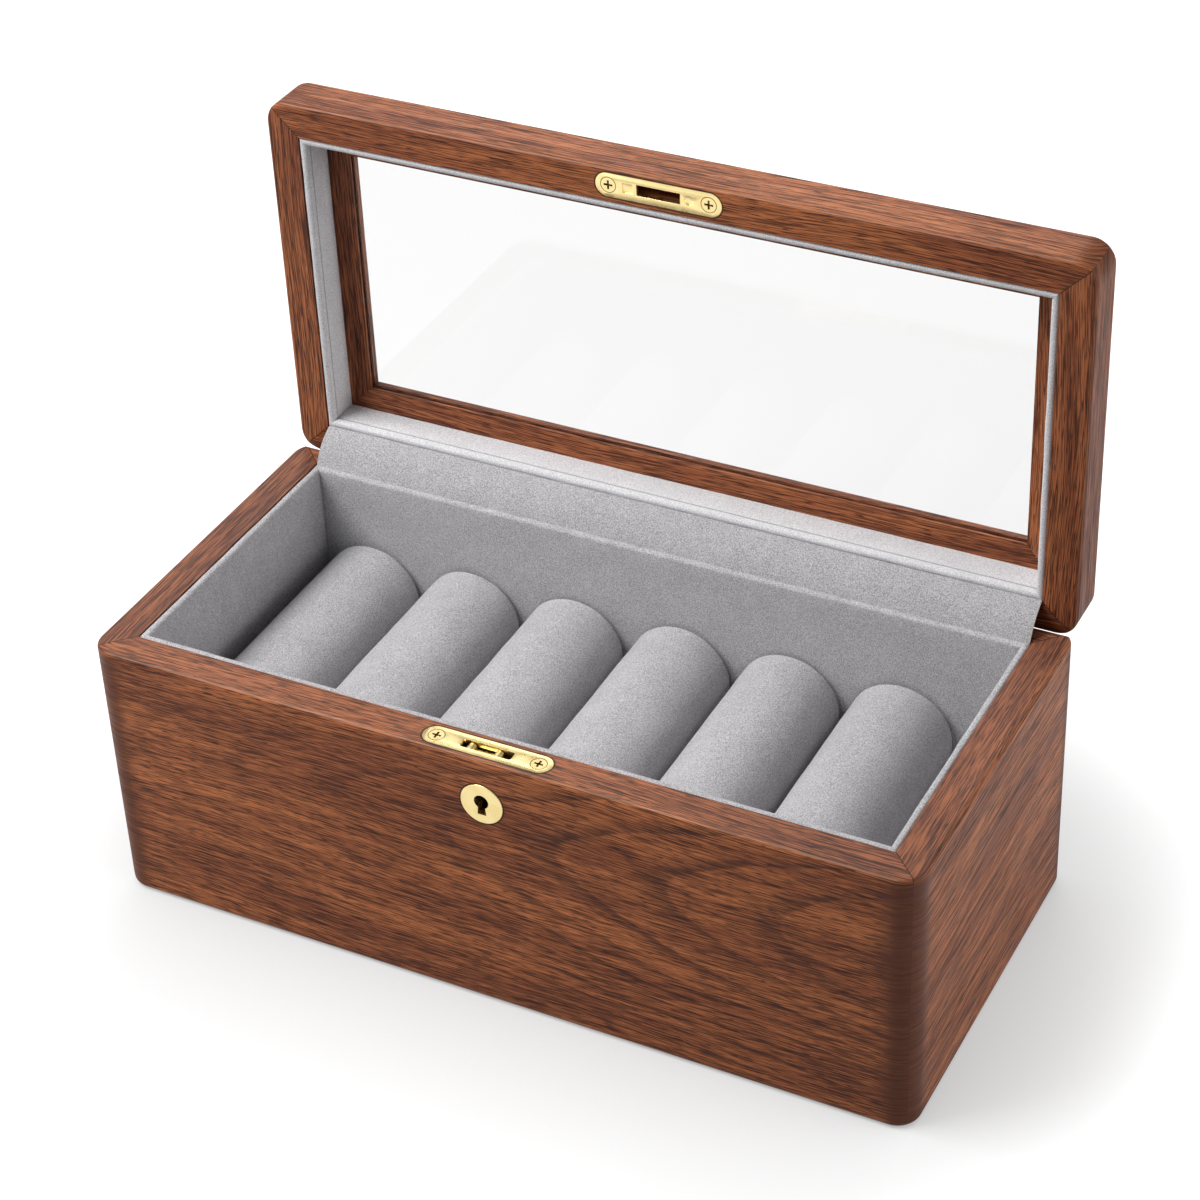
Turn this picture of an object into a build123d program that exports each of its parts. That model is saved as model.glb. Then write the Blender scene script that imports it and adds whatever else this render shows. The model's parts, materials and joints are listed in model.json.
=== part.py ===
"""A lined wooden bangle box: mitred case, hinged glass lid, six velvet rolls and a mortised lock.

Millimetres, +Z up, origin on the ground under the middle of the case. The front, with the
lock, faces -Y. The lid stands open at a right angle, as it rests on its stop.
"""
from build123d import *
import math
import os

# Case
box_width = 320.0
box_depth = 151.0
base_height = 111.0
wall = 13.0
corner_radius = 9.0
arris_radius = 1.6
foot_radius = 3.0
rear_bevel = 4.2

# Floor
floor_thick = 5.0
floor_rebate = 5.0
fit_clearance = 0.1

# Velvet-covered lining boards
lining = 3.0
lining_drop = 0.2
lid_lining = 3.0

# Lid
rim_gap = 0.5
lid_height = 20.5
lid_top_radius = 3.0
lid_bevel_run = 5.0
lid_bevel_rise = 1.8
frame_depth = 14.0
window_lip = 9.0
lip_edge_rise = 1.0
lip_slope_run = 7.0
glass_thick = 2.0
glass_lift = 16.0
glass_hold = 3.0
glass_clearance = 0.1

# Hinges
axis_inset = 2.65
hinge_end_gap = 45.0
hinge_length = 30.0
barrel_radius = 2.3
pin_radius = 1.0
pin_running_clearance = 0.05
knuckle_gap = 0.2
barrel_clearance = 0.3
leaf_thick = 1.1
leaf_reach = 6.8
hinge_screw_head = 1.8
hinge_screw_shank = 0.9
hinge_screw_length = 8.0
hinge_screw_spacing = 20.0
hinge_screw_inset = 2.4

# Cloth strip that covers the hinge side of the rims
strip_thick = 1.0
strip_sag = 1.3
strip_clearance = 0.6
strip_rebate_width = 3.4
strip_rebate_depth = 0.7
strip_side_gap = 0.5

# Rolls and the two cradle rails that carry their ends
roll_radius = 20.5
roll_gap = 3.6
roll_end_gap = 1.0
roll_side_gap = 1.1
finger_room = 18.0
roll_top_drop = 29.5
roll_padding = 3.0
roll_tube = 2.0
roll_cap_thick = 2.0
roll_cap_round = 1.2
cradle_thick = 8.0
cradle_drop = 7.0
saddle_clearance = 0.3
roll_tie_clearance = 0.05

# Lock: face plate, case, bolt, pins and spring, in the middle of the front wall
plate_end = 5.2
plate_width = 9.5
plate_thick = 2.0
slot_length = 19.6
slot_width = 4.2
slot_corner = 0.8
screw_wall = 1.0
screw_head = 2.8
screw_shank = 1.3
screw_length = 13.0
cross_length = 3.4
cross_width = 0.8
cross_depth = 1.0
lock_width = 35.0
lock_thick = 7.2
lock_drop = 29.0
lock_wall = 0.9
mortise_clearance = 0.1
bolt_thick = 3.4
bolt_lean = 25.0
bolt_travel = 6.5
bolt_tip_drop = 0.6
bolt_left_edge = -7.6
bolt_right_edge = 6.6
bolt_finger = 3.6
bolt_tip_round = 1.6
bolt_bridge_drop = 2.2
bolt_body_half = 10.5
bolt_body_height = 12.0
bolt_head_clearance = 0.4
bolt_arch_half = 5.6
bolt_arch_rise = 7.5
guide_pin_radius = 1.4
guide_pin_clearance = 0.05
guide_pin_offset = 6.4
guide_edge = 2.6
key_drop = 19.2
key_pin_radius = 1.1
key_pin_length = 4.0
spring_thick = 0.5
spring_gap = 0.1
spring_foot = 3.0

# Escutcheon and keyhole
ring_radius = 8.2
ring_thick = 2.0
ring_proud = 0.3
ring_edge_round = 0.27
key_round = 2.8
key_round_lift = 1.0
key_skirt_top = 2.4
key_skirt_bottom = 3.4
key_skirt_drop = 5.5
key_wood_clearance = 0.4

# Strike plate in the lid
strike_length = 49.0
strike_width = 9.5
strike_slot_length = 16.8
strike_slot_width = 4.2
strike_screw_spacing = 38.8
strike_pocket_end = 3.0
strike_pocket_height = 5.2
strike_dent_offset = 11.9
strike_dent_size = 3.8
strike_dent_depth = 0.5

# How far a cutting shape runs past the face that it cuts
overrun = 1.0

# Values that follow from the sizes above
half_w = box_width / 2
half_d = box_depth / 2
rim = base_height
lid_rim = rim + rim_gap
lid_top = lid_rim + lid_height
inner_w = half_w - wall
inner_d = half_d - wall
lined_w = inner_w - lining
lined_d = inner_d - lining
window_w = inner_w - lid_lining - window_lip
window_d = inner_d - lid_lining - window_lip
mitre_reach = wall + lid_lining + window_lip + overrun
mitre_margin = 5.0
axis_y = half_d - axis_inset
axis_z = rim + rim_gap / 2
plate_screw_spacing = lock_width + 2 * (screw_wall + screw_shank)
plate_length = plate_screw_spacing + 2 * plate_end
hinge_axis = Axis((0, axis_y, axis_z), (1, 0, 0))
open_angle = 90.0
roll_z = rim - roll_top_drop - roll_radius
roll_half = lined_d - roll_end_gap
roll_pitch = 2 * roll_radius + roll_gap
roll_room = 2 * lined_w - roll_side_gap - finger_room
roll_count = int((roll_room + roll_gap) // roll_pitch)
first_roll_x = -lined_w + roll_side_gap + roll_radius
roll_xs = [first_roll_x + n * roll_pitch for n in range(roll_count)]
lining_floor = floor_thick + lining
lock_y = -half_d + wall / 2
plate_low = rim - plate_thick
key_z = rim - key_drop
key_round_z = key_z + key_round_lift
lean = math.radians(bolt_lean)
bolt_path = Vector(math.sin(lean), 0, math.cos(lean))
hinge_x = half_w - hinge_end_gap - hinge_length / 2
hinge_xs = [-hinge_x, hinge_x]


def span(x0, x1, y0, y1, z0, z1):
    """A block between two corners."""
    return Pos((x0 + x1) / 2, (y0 + y1) / 2, (z0 + z1) / 2) * Box(x1 - x0, y1 - y0, z1 - z0)


def centred(half_x, half_y, z0, z1):
    """A block about the Z axis."""
    return span(-half_x, half_x, -half_y, half_y, z0, z1)


def rod_x(radius, x0, x1, y, z):
    """A round bar along X."""
    return Pos((x0 + x1) / 2, y, z) * Rot(0, 90, 0) * Cylinder(radius, x1 - x0)


def rod_y(radius, x, y0, y1, z):
    """A round bar along Y."""
    return Pos(x, (y0 + y1) / 2, z) * Rot(90, 0, 0) * Cylinder(radius, y1 - y0)


def rounded_block(z0, z1, low_radius, high_radius):
    """The case's outline between two heights, its edges eased."""
    body = centred(half_w, half_d, z0, z1)
    body = fillet(body.edges().filter_by(Axis.Z), corner_radius)
    body = fillet(body.edges().group_by(Axis.Z)[0], low_radius)
    return fillet(body.edges().group_by(Axis.Z)[-1], high_radius)


def mitre_wedge(side):
    """The part of the plan that one side of a mitred frame fills."""
    out_w, out_d = half_w + mitre_margin, half_d + mitre_margin
    in_w, in_d = half_w - mitre_reach, half_d - mitre_reach
    outer = {"front": ((-out_w, -out_d), (out_w, -out_d)), "back": ((out_w, out_d), (-out_w, out_d)),
             "left": ((-out_w, out_d), (-out_w, -out_d)), "right": ((out_w, -out_d), (out_w, out_d))}
    inner = {"front": ((in_w, -in_d), (-in_w, -in_d)), "back": ((-in_w, in_d), (in_w, in_d)),
             "left": ((-in_w, -in_d), (-in_w, in_d)), "right": ((in_w, in_d), (in_w, -in_d))}
    outline = Polygon(*outer[side], *inner[side], align=None)
    return Pos(0, 0, -mitre_margin) * extrude(outline, amount=lid_top + 2 * mitre_margin)


def opened(part):
    """A lid piece, turned from the shut place where it is drawn to the open rest."""
    return part.rotate(hinge_axis, -open_angle)


def yz_prism(points, x0, x1):
    """A straight bar along X with an outline given in Y and Z."""
    face = make_face(Polyline(*[(x0, y, z) for y, z in points], close=True))
    return extrude(face, amount=x1 - x0, dir=(1, 0, 0))


def stadium(length, width, z0, z1, y):
    """A plate with round ends, lying flat."""
    return Pos(0, y, z0) * extrude(SlotOverall(length, width), amount=z1 - z0)


def screw_blank(head, shank, length):
    """A countersunk screw's outline, its head's face at the origin and its tip downwards."""
    cone = head - shank
    body = Pos(0, 0, -cone / 2) * Cone(shank, head, cone)
    return body + Pos(0, 0, -(cone + length) / 2) * Cylinder(shank, length - cone)


def cross_cut():
    """The cross-shaped recess of a screw's head."""
    bar = Box(cross_length, cross_width, 2 * cross_depth)
    return bar + Rot(0, 0, 90) * bar


# The case's four walls
def base_wall_ring():
    """The four walls in one, with the floor's rebate and the bevel at the hinge side."""
    ring = rounded_block(0, rim, foot_radius, arris_radius)
    ring -= centred(inner_w, inner_d, -overrun, rim + overrun)
    rebate = floor_rebate + fit_clearance
    ring -= centred(inner_w + rebate, inner_d + rebate, -overrun, floor_thick)
    past = half_d + overrun
    bevel = [(half_d - rear_bevel, rim), (past, rim + overrun), (past, rim - rear_bevel - overrun)]
    ring -= yz_prism(bevel, -half_w - overrun, half_w + overrun)
    return ring - strip_rebate(rim - strip_rebate_depth, rim + overrun)


def strip_rebate(z0, z1):
    """The step in a rear rim that makes room for the folded cloth strip."""
    return span(-inner_w, inner_w, inner_d - overrun, inner_d + strip_rebate_width, z0, z1)


def hinge_cuts(z0, z1):
    """What both hinges take out of a rim: leaf beds between two heights, and barrel pockets."""
    cuts = []
    for x in hinge_xs:
        low, high = x - hinge_length / 2, x + hinge_length / 2
        cuts.append(span(low, high, axis_y - leaf_reach, axis_y, z0, z1))
        pocket = barrel_radius + barrel_clearance
        cuts.append(rod_x(pocket, low - knuckle_gap, high + knuckle_gap, axis_y, axis_z))
    return cuts


def hinge_screw_places():
    """Where the hinge screws stand, in plan."""
    y = axis_y - leaf_reach + hinge_screw_inset
    return [(x + side * hinge_screw_spacing / 2, y) for x in hinge_xs for side in (-1, 1)]


def hinge_screws(z, flip):
    """The screws of both hinges on one rim; the lid's point upwards."""
    blank = screw_blank(hinge_screw_head, hinge_screw_shank, hinge_screw_length)
    return [Pos(x, y, z) * Rot(flip, 0, 0) * blank for x, y in hinge_screw_places()]


def plate_screws(spacing, z, flip, blank):
    """Two screws of a lock or strike plate."""
    return [Pos(side * spacing / 2, lock_y, z) * Rot(flip, 0, 0) * blank for side in (-1, 1)]


def plate_screw_holes(spacing, z, flip):
    """The countersunk holes of a lock or strike plate."""
    return plate_screws(spacing, z, flip, screw_blank(screw_head, screw_shank, screw_length))


def keyhole(y0, y1, clearance):
    """A keyhole along Y: a round with a skirt that widens downwards."""
    hole = rod_y(key_round + clearance, 0, y0, y1, key_round_z)
    top, low = key_skirt_top / 2 + clearance, key_skirt_bottom / 2 + clearance
    drop = key_round_z - key_skirt_drop - clearance
    corners = [(-top, y0, key_round_z), (top, y0, key_round_z), (low, y0, drop), (-low, y0, drop)]
    skirt = make_face(Polyline(*corners, close=True))
    return hole + extrude(skirt, amount=y1 - y0, dir=(0, 1, 0))


def make_base_walls():
    """The four mitred walls of the case."""
    ring = base_wall_ring()
    walls = {side: ring & mitre_wedge(side) for side in ("front", "back", "left", "right")}
    front = walls["front"] - stadium(plate_length, plate_width, plate_low, rim + overrun, lock_y)
    case_w, case_y = lock_width / 2 + mortise_clearance, lock_thick / 2 + mortise_clearance
    front -= span(-case_w, case_w, lock_y - case_y, lock_y + case_y, plate_low - lock_drop, rim)
    front -= keyhole(-half_d - overrun, lock_y, key_wood_clearance)
    front -= rod_y(ring_radius, 0, -half_d - overrun, -half_d + ring_thick - ring_proud, key_z)
    for hole in plate_screw_holes(plate_screw_spacing, rim, 0):
        front -= hole
    back = walls["back"]
    for cut in hinge_cuts(rim - leaf_thick, rim + overrun) + hinge_screws(rim, 0):
        back -= cut
    return {"base_front_wall": front, "base_back_wall": back,
            "base_left_wall": walls["left"], "base_right_wall": walls["right"]}


def make_floor():
    """The plywood floor in its rebate and the velvet board on it."""
    panel = centred(inner_w + floor_rebate, inner_d + floor_rebate, 0, floor_thick)
    board = centred(inner_w, inner_d, floor_thick, lining_floor)
    return {"bottom_panel": panel, "floor_lining": board}


def make_base_lining():
    """The four velvet boards that line the case's walls, mitred at the corners."""
    ring = centred(inner_w, inner_d, lining_floor, rim - lining_drop) - centred(lined_w, lined_d, 0, rim)
    return {"lining_" + side: ring & mitre_wedge(side) for side in ("front", "back", "left", "right")}


# Rolls
def make_cradles():
    """Two notched rails that carry the ends of the rolls."""
    rails = {}
    for name, side in (("front_cradle", -1), ("rear_cradle", 1)):
        far, near = side * lined_d, side * (lined_d - cradle_thick)
        rail = span(-lined_w, lined_w, min(far, near), max(far, near), lining_floor, roll_z - cradle_drop)
        for x in roll_xs:
            rail -= rod_y(roll_radius + saddle_clearance, x, -half_d, half_d, roll_z)
        rails[name] = rail
    return rails


def make_roll(x):
    """One roll: a card tube, its padded velvet sleeve and the two covered ends."""
    tube_out = roll_radius - roll_padding
    sleeve_half = roll_half - roll_cap_thick
    tube = rod_y(tube_out - roll_tie_clearance, x, -sleeve_half, sleeve_half, roll_z)
    tube -= rod_y(tube_out - roll_tube, x, -half_d, half_d, roll_z)
    sleeve = rod_y(roll_radius, x, -sleeve_half, sleeve_half, roll_z)
    sleeve -= rod_y(tube_out, x, -half_d, half_d, roll_z)
    rear_cap = rod_y(roll_radius, x, sleeve_half, roll_half, roll_z)
    rear_cap = fillet(rear_cap.edges().group_by(Axis.Y)[-1], roll_cap_round)
    front_cap = rod_y(roll_radius, x, -roll_half, -sleeve_half, roll_z)
    front_cap = fillet(front_cap.edges().group_by(Axis.Y)[0], roll_cap_round)
    return {"core": tube, "sleeve": sleeve, "ends": Compound([front_cap, rear_cap])}


# Lock
def make_face_plate():
    """The plate let into the front rim, slotted for the bolt."""
    plate = stadium(plate_length, plate_width, plate_low, rim, lock_y)
    slot = RectangleRounded(slot_length, slot_width, slot_corner)
    plate -= Pos(0, lock_y, plate_low - overrun) * extrude(slot, amount=plate_thick + 2 * overrun)
    for hole in plate_screw_holes(plate_screw_spacing, rim, 0):
        plate -= hole
    return plate


def make_lock_case():
    """The open-topped case under the face plate, with the keyhole in its front."""
    half, deep = lock_width / 2, lock_thick / 2
    case = span(-half, half, lock_y - deep, lock_y + deep, plate_low - lock_drop, plate_low)
    case -= span(-half + lock_wall, half - lock_wall, lock_y - deep + lock_wall, lock_y + deep - lock_wall,
                 plate_low - lock_drop + lock_wall, rim)
    return case - keyhole(lock_y - lock_thick, lock_y - deep + 2 * lock_wall, 0)


def leaning(x0, x1, z_ref, z0, z1):
    """A flat bar that leans along the bolt's path, its edges at x0 and x1 at the height z_ref."""
    shift = [(z - z_ref) * math.tan(lean) for z in (z0, z1)]
    points = [(x0 + shift[0], z0), (x1 + shift[0], z0), (x1 + shift[1], z1), (x0 + shift[1], z1)]
    outline = Polyline(*[(px, lock_y - bolt_thick / 2, pz) for px, pz in points], close=True)
    return extrude(make_face(outline), amount=bolt_thick, dir=(0, 1, 0))


def bolt_levels():
    """The heights of the bolt's tip, the top of its body and its foot, drawn in."""
    tip = rim - bolt_tip_drop
    body_top = plate_low - bolt_travel * math.cos(lean) - bolt_head_clearance
    return tip, body_top, body_top - bolt_body_height


def guide_place():
    """Where the fixed guide pin stands: near the top of the bolt's slot while the bolt is drawn in."""
    _, body_top, _ = bolt_levels()
    return -guide_pin_offset, body_top - guide_edge


def make_bolt():
    """The bolt: two bridged leaning fingers on a body slotted for its guide pin and arched over the key."""
    tip, body_top, foot = bolt_levels()
    body = leaning(-bolt_body_half, bolt_body_half, (body_top + foot) / 2, foot, body_top)
    body += leaning(bolt_left_edge, bolt_right_edge, tip, body_top - overrun, tip - bolt_bridge_drop)
    for edge in (bolt_left_edge, bolt_right_edge - bolt_finger):
        finger = leaning(edge, edge + bolt_finger, tip, body_top - overrun, tip)
        body += fillet(finger.edges().filter_by(Axis.Y).group_by(Axis.Z)[-1], bolt_tip_round)
    arch_z = foot + bolt_arch_rise - bolt_arch_half
    body -= rod_y(bolt_arch_half, 0, -half_d, 0, arch_z)
    body -= span(-bolt_arch_half, bolt_arch_half, -half_d, 0, foot - overrun, arch_z)
    x, z = guide_place()
    radius = guide_pin_radius + guide_pin_clearance
    end_x, end_z = x - bolt_travel * bolt_path.X, z - bolt_travel * bolt_path.Z
    body -= rod_y(radius, x, -half_d, 0, z) + rod_y(radius, end_x, -half_d, 0, end_z)
    across = Vector(bolt_path.Z, 0, -bolt_path.X) * radius
    high, low = Vector(x, -half_d, z), Vector(end_x, -half_d, end_z)
    track = make_face(Polyline(high - across, high + across, low + across, low - across, close=True))
    return body - extrude(track, amount=half_d, dir=(0, 1, 0))


def make_lock_pins():
    """The bolt's guide pin and the pin that the key turns on, both riveted to the case's back."""
    back = lock_y + lock_thick / 2 - lock_wall
    front = lock_y - lock_thick / 2 + lock_wall
    x, z = guide_place()
    return {"bolt_guide_pin": rod_y(guide_pin_radius, x, front, back, z),
            "key_pin": rod_y(key_pin_radius, 0, back - key_pin_length, back, key_round_z)}


def make_lock_spring():
    """The flat spring that presses on the bolt's leaning edge, footed on the case's side."""
    _, body_top, foot = bolt_levels()
    edge = bolt_body_half + spring_gap / math.cos(lean)
    middle, low = (body_top + foot) / 2, foot + spring_foot
    blade = leaning(edge, edge + spring_thick / math.cos(lean), middle, low, body_top)
    side = lock_width / 2 - lock_wall
    low_x = edge + (low - middle) * math.tan(lean)
    y = bolt_thick / 2
    return blade + span(low_x, side, lock_y - y, lock_y + y, low - spring_thick, low)


def make_escutcheon():
    """The round keyhole ring let into the front wall."""
    face = -half_d - ring_proud
    ring = rod_y(ring_radius, 0, face, face + ring_thick, key_z)
    ring = fillet(ring.edges().group_by(Axis.Y)[0], ring_edge_round)
    return ring - keyhole(face - overrun, face + ring_thick + overrun, 0)


def make_screws(spacing, z, flip):
    """A pair of cross-headed plate screws."""
    blank = screw_blank(screw_head, screw_shank, screw_length) - cross_cut()
    return Compound(plate_screws(spacing, z, flip, blank))


# Hinges
def make_hinge(x):
    """One butt hinge, shut: the case's leaf with two knuckles, the lid's leaf with one, and the pin."""
    low, high = x - hinge_length / 2, x + hinge_length / 2
    third = hinge_length / 3
    middle = (low + third, high - third)
    ends = [(low, low + third), (high - third, high)]
    front = axis_y - leaf_reach
    base = span(low, high, front, axis_y, rim - leaf_thick, rim)
    lid = span(low, high, front, axis_y, lid_rim, lid_rim + leaf_thick)
    free = barrel_radius + knuckle_gap
    base -= rod_x(free, middle[0] - knuckle_gap, middle[1] + knuckle_gap, axis_y, axis_z)
    for a, b in ends:
        base += rod_x(barrel_radius, a, b, axis_y, axis_z)
        lid -= rod_x(free, a - knuckle_gap, b + knuckle_gap, axis_y, axis_z)
    lid += rod_x(barrel_radius, middle[0] + knuckle_gap, middle[1] - knuckle_gap, axis_y, axis_z)
    base -= rod_x(pin_radius, low, high, axis_y, axis_z)
    lid -= rod_x(pin_radius + pin_running_clearance, low, high, axis_y, axis_z)
    for screw in hinge_screws(rim, 0):
        base -= screw
    for screw in hinge_screws(lid_rim, 180):
        lid -= screw
    return base, lid, rod_x(pin_radius, low, high, axis_y, axis_z)


# Lid
def lid_ring():
    """The lid's four rails in one, shut: walls, window lip, glass groove and rear bevel."""
    ring = rounded_block(lid_rim, lid_top, arris_radius, lid_top_radius)
    ring -= centred(inner_w, inner_d, lid_rim - overrun, lid_rim + frame_depth)
    ring -= centred(window_w, window_d, lid_rim, lid_top + overrun)
    low = lid_rim + glass_lift
    ring -= centred(window_w + glass_hold, window_d + glass_hold, low, low + glass_thick + glass_clearance)
    start = lid_rim + frame_depth
    wide = Pos(0, 0, start) * Rectangle(2 * (window_w + lip_slope_run), 2 * (window_d + lip_slope_run))
    narrow = Pos(0, 0, start + lip_edge_rise) * Rectangle(2 * window_w, 2 * window_d)
    ring -= loft([wide, narrow])
    past = half_d + overrun
    slope = lid_bevel_rise / lid_bevel_run
    low_bevel = [(half_d - lid_bevel_run, lid_rim), (past, lid_rim - overrun),
                 (past, lid_rim + lid_bevel_rise + slope * overrun)]
    ring -= yz_prism(low_bevel, -half_w - overrun, half_w + overrun)
    return ring - strip_rebate(lid_rim - overrun, lid_rim + strip_rebate_depth)


def make_lid_rails():
    """The four mitred rails of the lid."""
    ring = lid_ring()
    rails = {side: ring & mitre_wedge(side) for side in ("front", "back", "left", "right")}
    bed = stadium(strike_length, strike_width, lid_rim - overrun, lid_rim + plate_thick, lock_y)
    front = rails["front"] - bed
    half_pocket = strike_slot_length / 2 + strike_pocket_end
    pocket_top = lid_rim + plate_thick + strike_pocket_height
    low_y, high_y = lock_y - strike_slot_width / 2, lock_y + strike_slot_width / 2
    front -= span(-half_pocket, half_pocket, low_y, high_y, lid_rim, pocket_top)
    for hole in plate_screw_holes(strike_screw_spacing, lid_rim, 180):
        front -= hole
    back = rails["back"]
    for cut in hinge_cuts(lid_rim - overrun, lid_rim + leaf_thick) + hinge_screws(lid_rim, 180):
        back -= cut
    return {"lid_front_rail": front, "lid_back_rail": back,
            "lid_left_rail": rails["left"], "lid_right_rail": rails["right"]}


def make_glass():
    """The pane, held in the groove of the rails."""
    low = lid_rim + glass_lift
    half_x, half_y = window_w + glass_hold - glass_clearance, window_d + glass_hold - glass_clearance
    return centred(half_x, half_y, low, low + glass_thick)


def make_lid_lining():
    """The four velvet boards inside the lid, mitred at the corners."""
    low, high = lid_rim + lining_drop, lid_rim + frame_depth
    ring = centred(inner_w, inner_d, low, high)
    ring -= centred(inner_w - lid_lining, inner_d - lid_lining, low - overrun, high + overrun)
    return {"lid_lining_" + side: ring & mitre_wedge(side) for side in ("front", "back", "left", "right")}


def make_strike():
    """The slotted plate in the lid's rim that the bolt's fingers catch behind."""
    top = lid_rim + plate_thick
    plate = stadium(strike_length, strike_width, lid_rim, top, lock_y)
    half = strike_slot_length / 2
    low_y, high_y = lock_y - strike_slot_width / 2, lock_y + strike_slot_width / 2
    plate -= span(-half, half, low_y, high_y, lid_rim - overrun, top + overrun)
    size, under = strike_dent_size / 2, lid_rim - overrun
    dent = overrun + strike_dent_depth
    plate -= Pos(-strike_dent_offset, lock_y, under) * extrude(Rectangle(2 * size, 2 * size), amount=dent)
    plate -= Pos(strike_dent_offset, lock_y, under) * extrude(RegularPolygon(size, 8), amount=dent)
    for hole in plate_screw_holes(strike_screw_spacing, lid_rim, 180):
        plate -= hole
    return plate


def make_strip():
    """The cloth strip between the rear linings, bowed a little towards the inside."""
    start = Vector(0, inner_d + strip_clearance, rim + strip_thick / 2)
    reach = Vector(0, start.Y - axis_y, start.Z - axis_z)
    end = Vector(0, axis_y + reach.Z, axis_z - reach.Y)
    along = (end - start).normalized()
    out = Vector(0, -along.Z, along.Y)
    middle = (start + end) * 0.5 + out * strip_sag
    half = out * (strip_thick / 2)
    outer = ThreePointArc(start + half, middle + half, end + half)
    inner = ThreePointArc(end - half, middle - half, start - half)
    face = make_face([outer, Line(end + half, end - half), inner, Line(start - half, start + half)])
    width = 2 * (inner_w - strip_side_gap)
    return Pos(-width / 2, 0, 0) * extrude(face, amount=width, dir=(1, 0, 0))


def build():
    """Every piece by name."""
    parts = {}
    parts.update(make_base_walls())
    parts.update(make_floor())
    parts.update(make_base_lining())
    parts.update(make_cradles())
    for number, x in enumerate(roll_xs, 1):
        for name, piece in make_roll(x).items():
            parts[f"roll_{name}_{number}"] = piece
    parts["lock_face_plate"] = make_face_plate()
    parts["lock_case"] = make_lock_case()
    parts["lock_bolt"] = make_bolt()
    parts["lock_spring"] = make_lock_spring()
    parts.update(make_lock_pins())
    parts["lock_plate_screws"] = make_screws(plate_screw_spacing, rim, 0)
    parts["escutcheon"] = make_escutcheon()
    for name, x in zip(("left", "right"), hinge_xs):
        base, lid, pin = make_hinge(x)
        parts[f"{name}_hinge_base_leaf"] = base
        parts[f"{name}_hinge_lid_leaf"] = opened(lid)
        parts[f"{name}_hinge_pin"] = pin
    parts["hinge_base_screws"] = Compound(hinge_screws(rim, 0))
    parts["hinge_lid_screws"] = opened(Compound(hinge_screws(lid_rim, 180)))
    for name, piece in {**make_lid_rails(), **make_lid_lining()}.items():
        parts[name] = opened(piece)
    parts["glass_pane"] = opened(make_glass())
    parts["strike_plate"] = opened(make_strike())
    parts["strike_screws"] = opened(make_screws(strike_screw_spacing, lid_rim, 180))
    parts["hinge_cover_strip"] = make_strip()
    return parts


os.makedirs("parts", exist_ok=True)
for node, piece in build().items():
    export_step(piece, f"parts/{node}.step")
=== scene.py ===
"""Looks of a walnut bangle box: a mitred case and glass lid, velvet linings, six rolls and brass fittings.

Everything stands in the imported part's own frame, in metres: +Z up, the lock towards -Y, the lid
open at a right angle on its hinges. Rigid pieces of the frame get their finish; velvet boards,
rolls, rails, the cloth strip and the brass plates are modelled here and stand for frame pieces.
"""
from __future__ import annotations

import json
import logging
import math
from contextlib import contextmanager
from dataclasses import dataclass
from enum import Enum
from typing import Callable, Iterator, Sequence

import bmesh
import bpy
from mathutils import Matrix, Vector, noise

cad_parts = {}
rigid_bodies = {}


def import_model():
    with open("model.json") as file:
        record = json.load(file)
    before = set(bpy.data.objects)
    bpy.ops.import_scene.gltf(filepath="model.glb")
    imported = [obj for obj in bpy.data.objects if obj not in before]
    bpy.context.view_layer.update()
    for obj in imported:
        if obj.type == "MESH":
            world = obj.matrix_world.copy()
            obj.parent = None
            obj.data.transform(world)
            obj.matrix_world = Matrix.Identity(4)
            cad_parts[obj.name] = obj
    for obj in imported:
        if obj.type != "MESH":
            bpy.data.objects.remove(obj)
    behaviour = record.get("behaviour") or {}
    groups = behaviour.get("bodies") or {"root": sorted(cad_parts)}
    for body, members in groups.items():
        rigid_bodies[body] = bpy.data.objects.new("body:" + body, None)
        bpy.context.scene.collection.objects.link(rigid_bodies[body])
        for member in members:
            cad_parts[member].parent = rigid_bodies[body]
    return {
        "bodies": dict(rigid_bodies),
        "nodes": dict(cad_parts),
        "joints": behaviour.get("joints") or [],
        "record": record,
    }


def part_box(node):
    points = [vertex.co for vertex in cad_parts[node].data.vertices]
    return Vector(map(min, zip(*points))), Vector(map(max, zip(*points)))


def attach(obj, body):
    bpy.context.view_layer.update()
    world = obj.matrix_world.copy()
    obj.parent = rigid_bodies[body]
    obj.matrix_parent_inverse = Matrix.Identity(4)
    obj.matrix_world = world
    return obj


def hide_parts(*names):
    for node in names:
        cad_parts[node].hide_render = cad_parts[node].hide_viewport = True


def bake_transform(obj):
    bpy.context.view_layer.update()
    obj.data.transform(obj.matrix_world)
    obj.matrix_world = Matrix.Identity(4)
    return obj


LOG = logging.getLogger("bangle_box")
Colour = tuple[float, float, float, float]
Socket = bpy.types.NodeSocket
MM = 0.001
HAIR = 0.01 * MM
# The levels, in millimetres of the frame, of the case's rim and of the open lid's front face
RIM = 111.0
LID_FACE = 73.1
RIPPLE_WAY = (1.0, 0.7, -1.0)
WHITE: Colour = (1.0, 1.0, 1.0, 1.0)
GOLD: tuple[Colour, Colour] = ((0.90, 0.71, 0.325, 1.0), (0.94, 0.77, 0.38, 1.0))


class Side(Enum):
    """A side of the case or lid, with the turn that brings a board there from the back."""

    BACK = 0
    LEFT = 90
    FRONT = 180
    RIGHT = -90


class Grain(Enum):
    """Which way a board's grain runs: the frame axes along the grain, up the face and into the wood."""

    ALONG_X = ("X", "Z", "Y")
    ALONG_Y = ("Y", "Z", "X")
    ALONG_Z = ("Z", "X", "Y")


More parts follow.
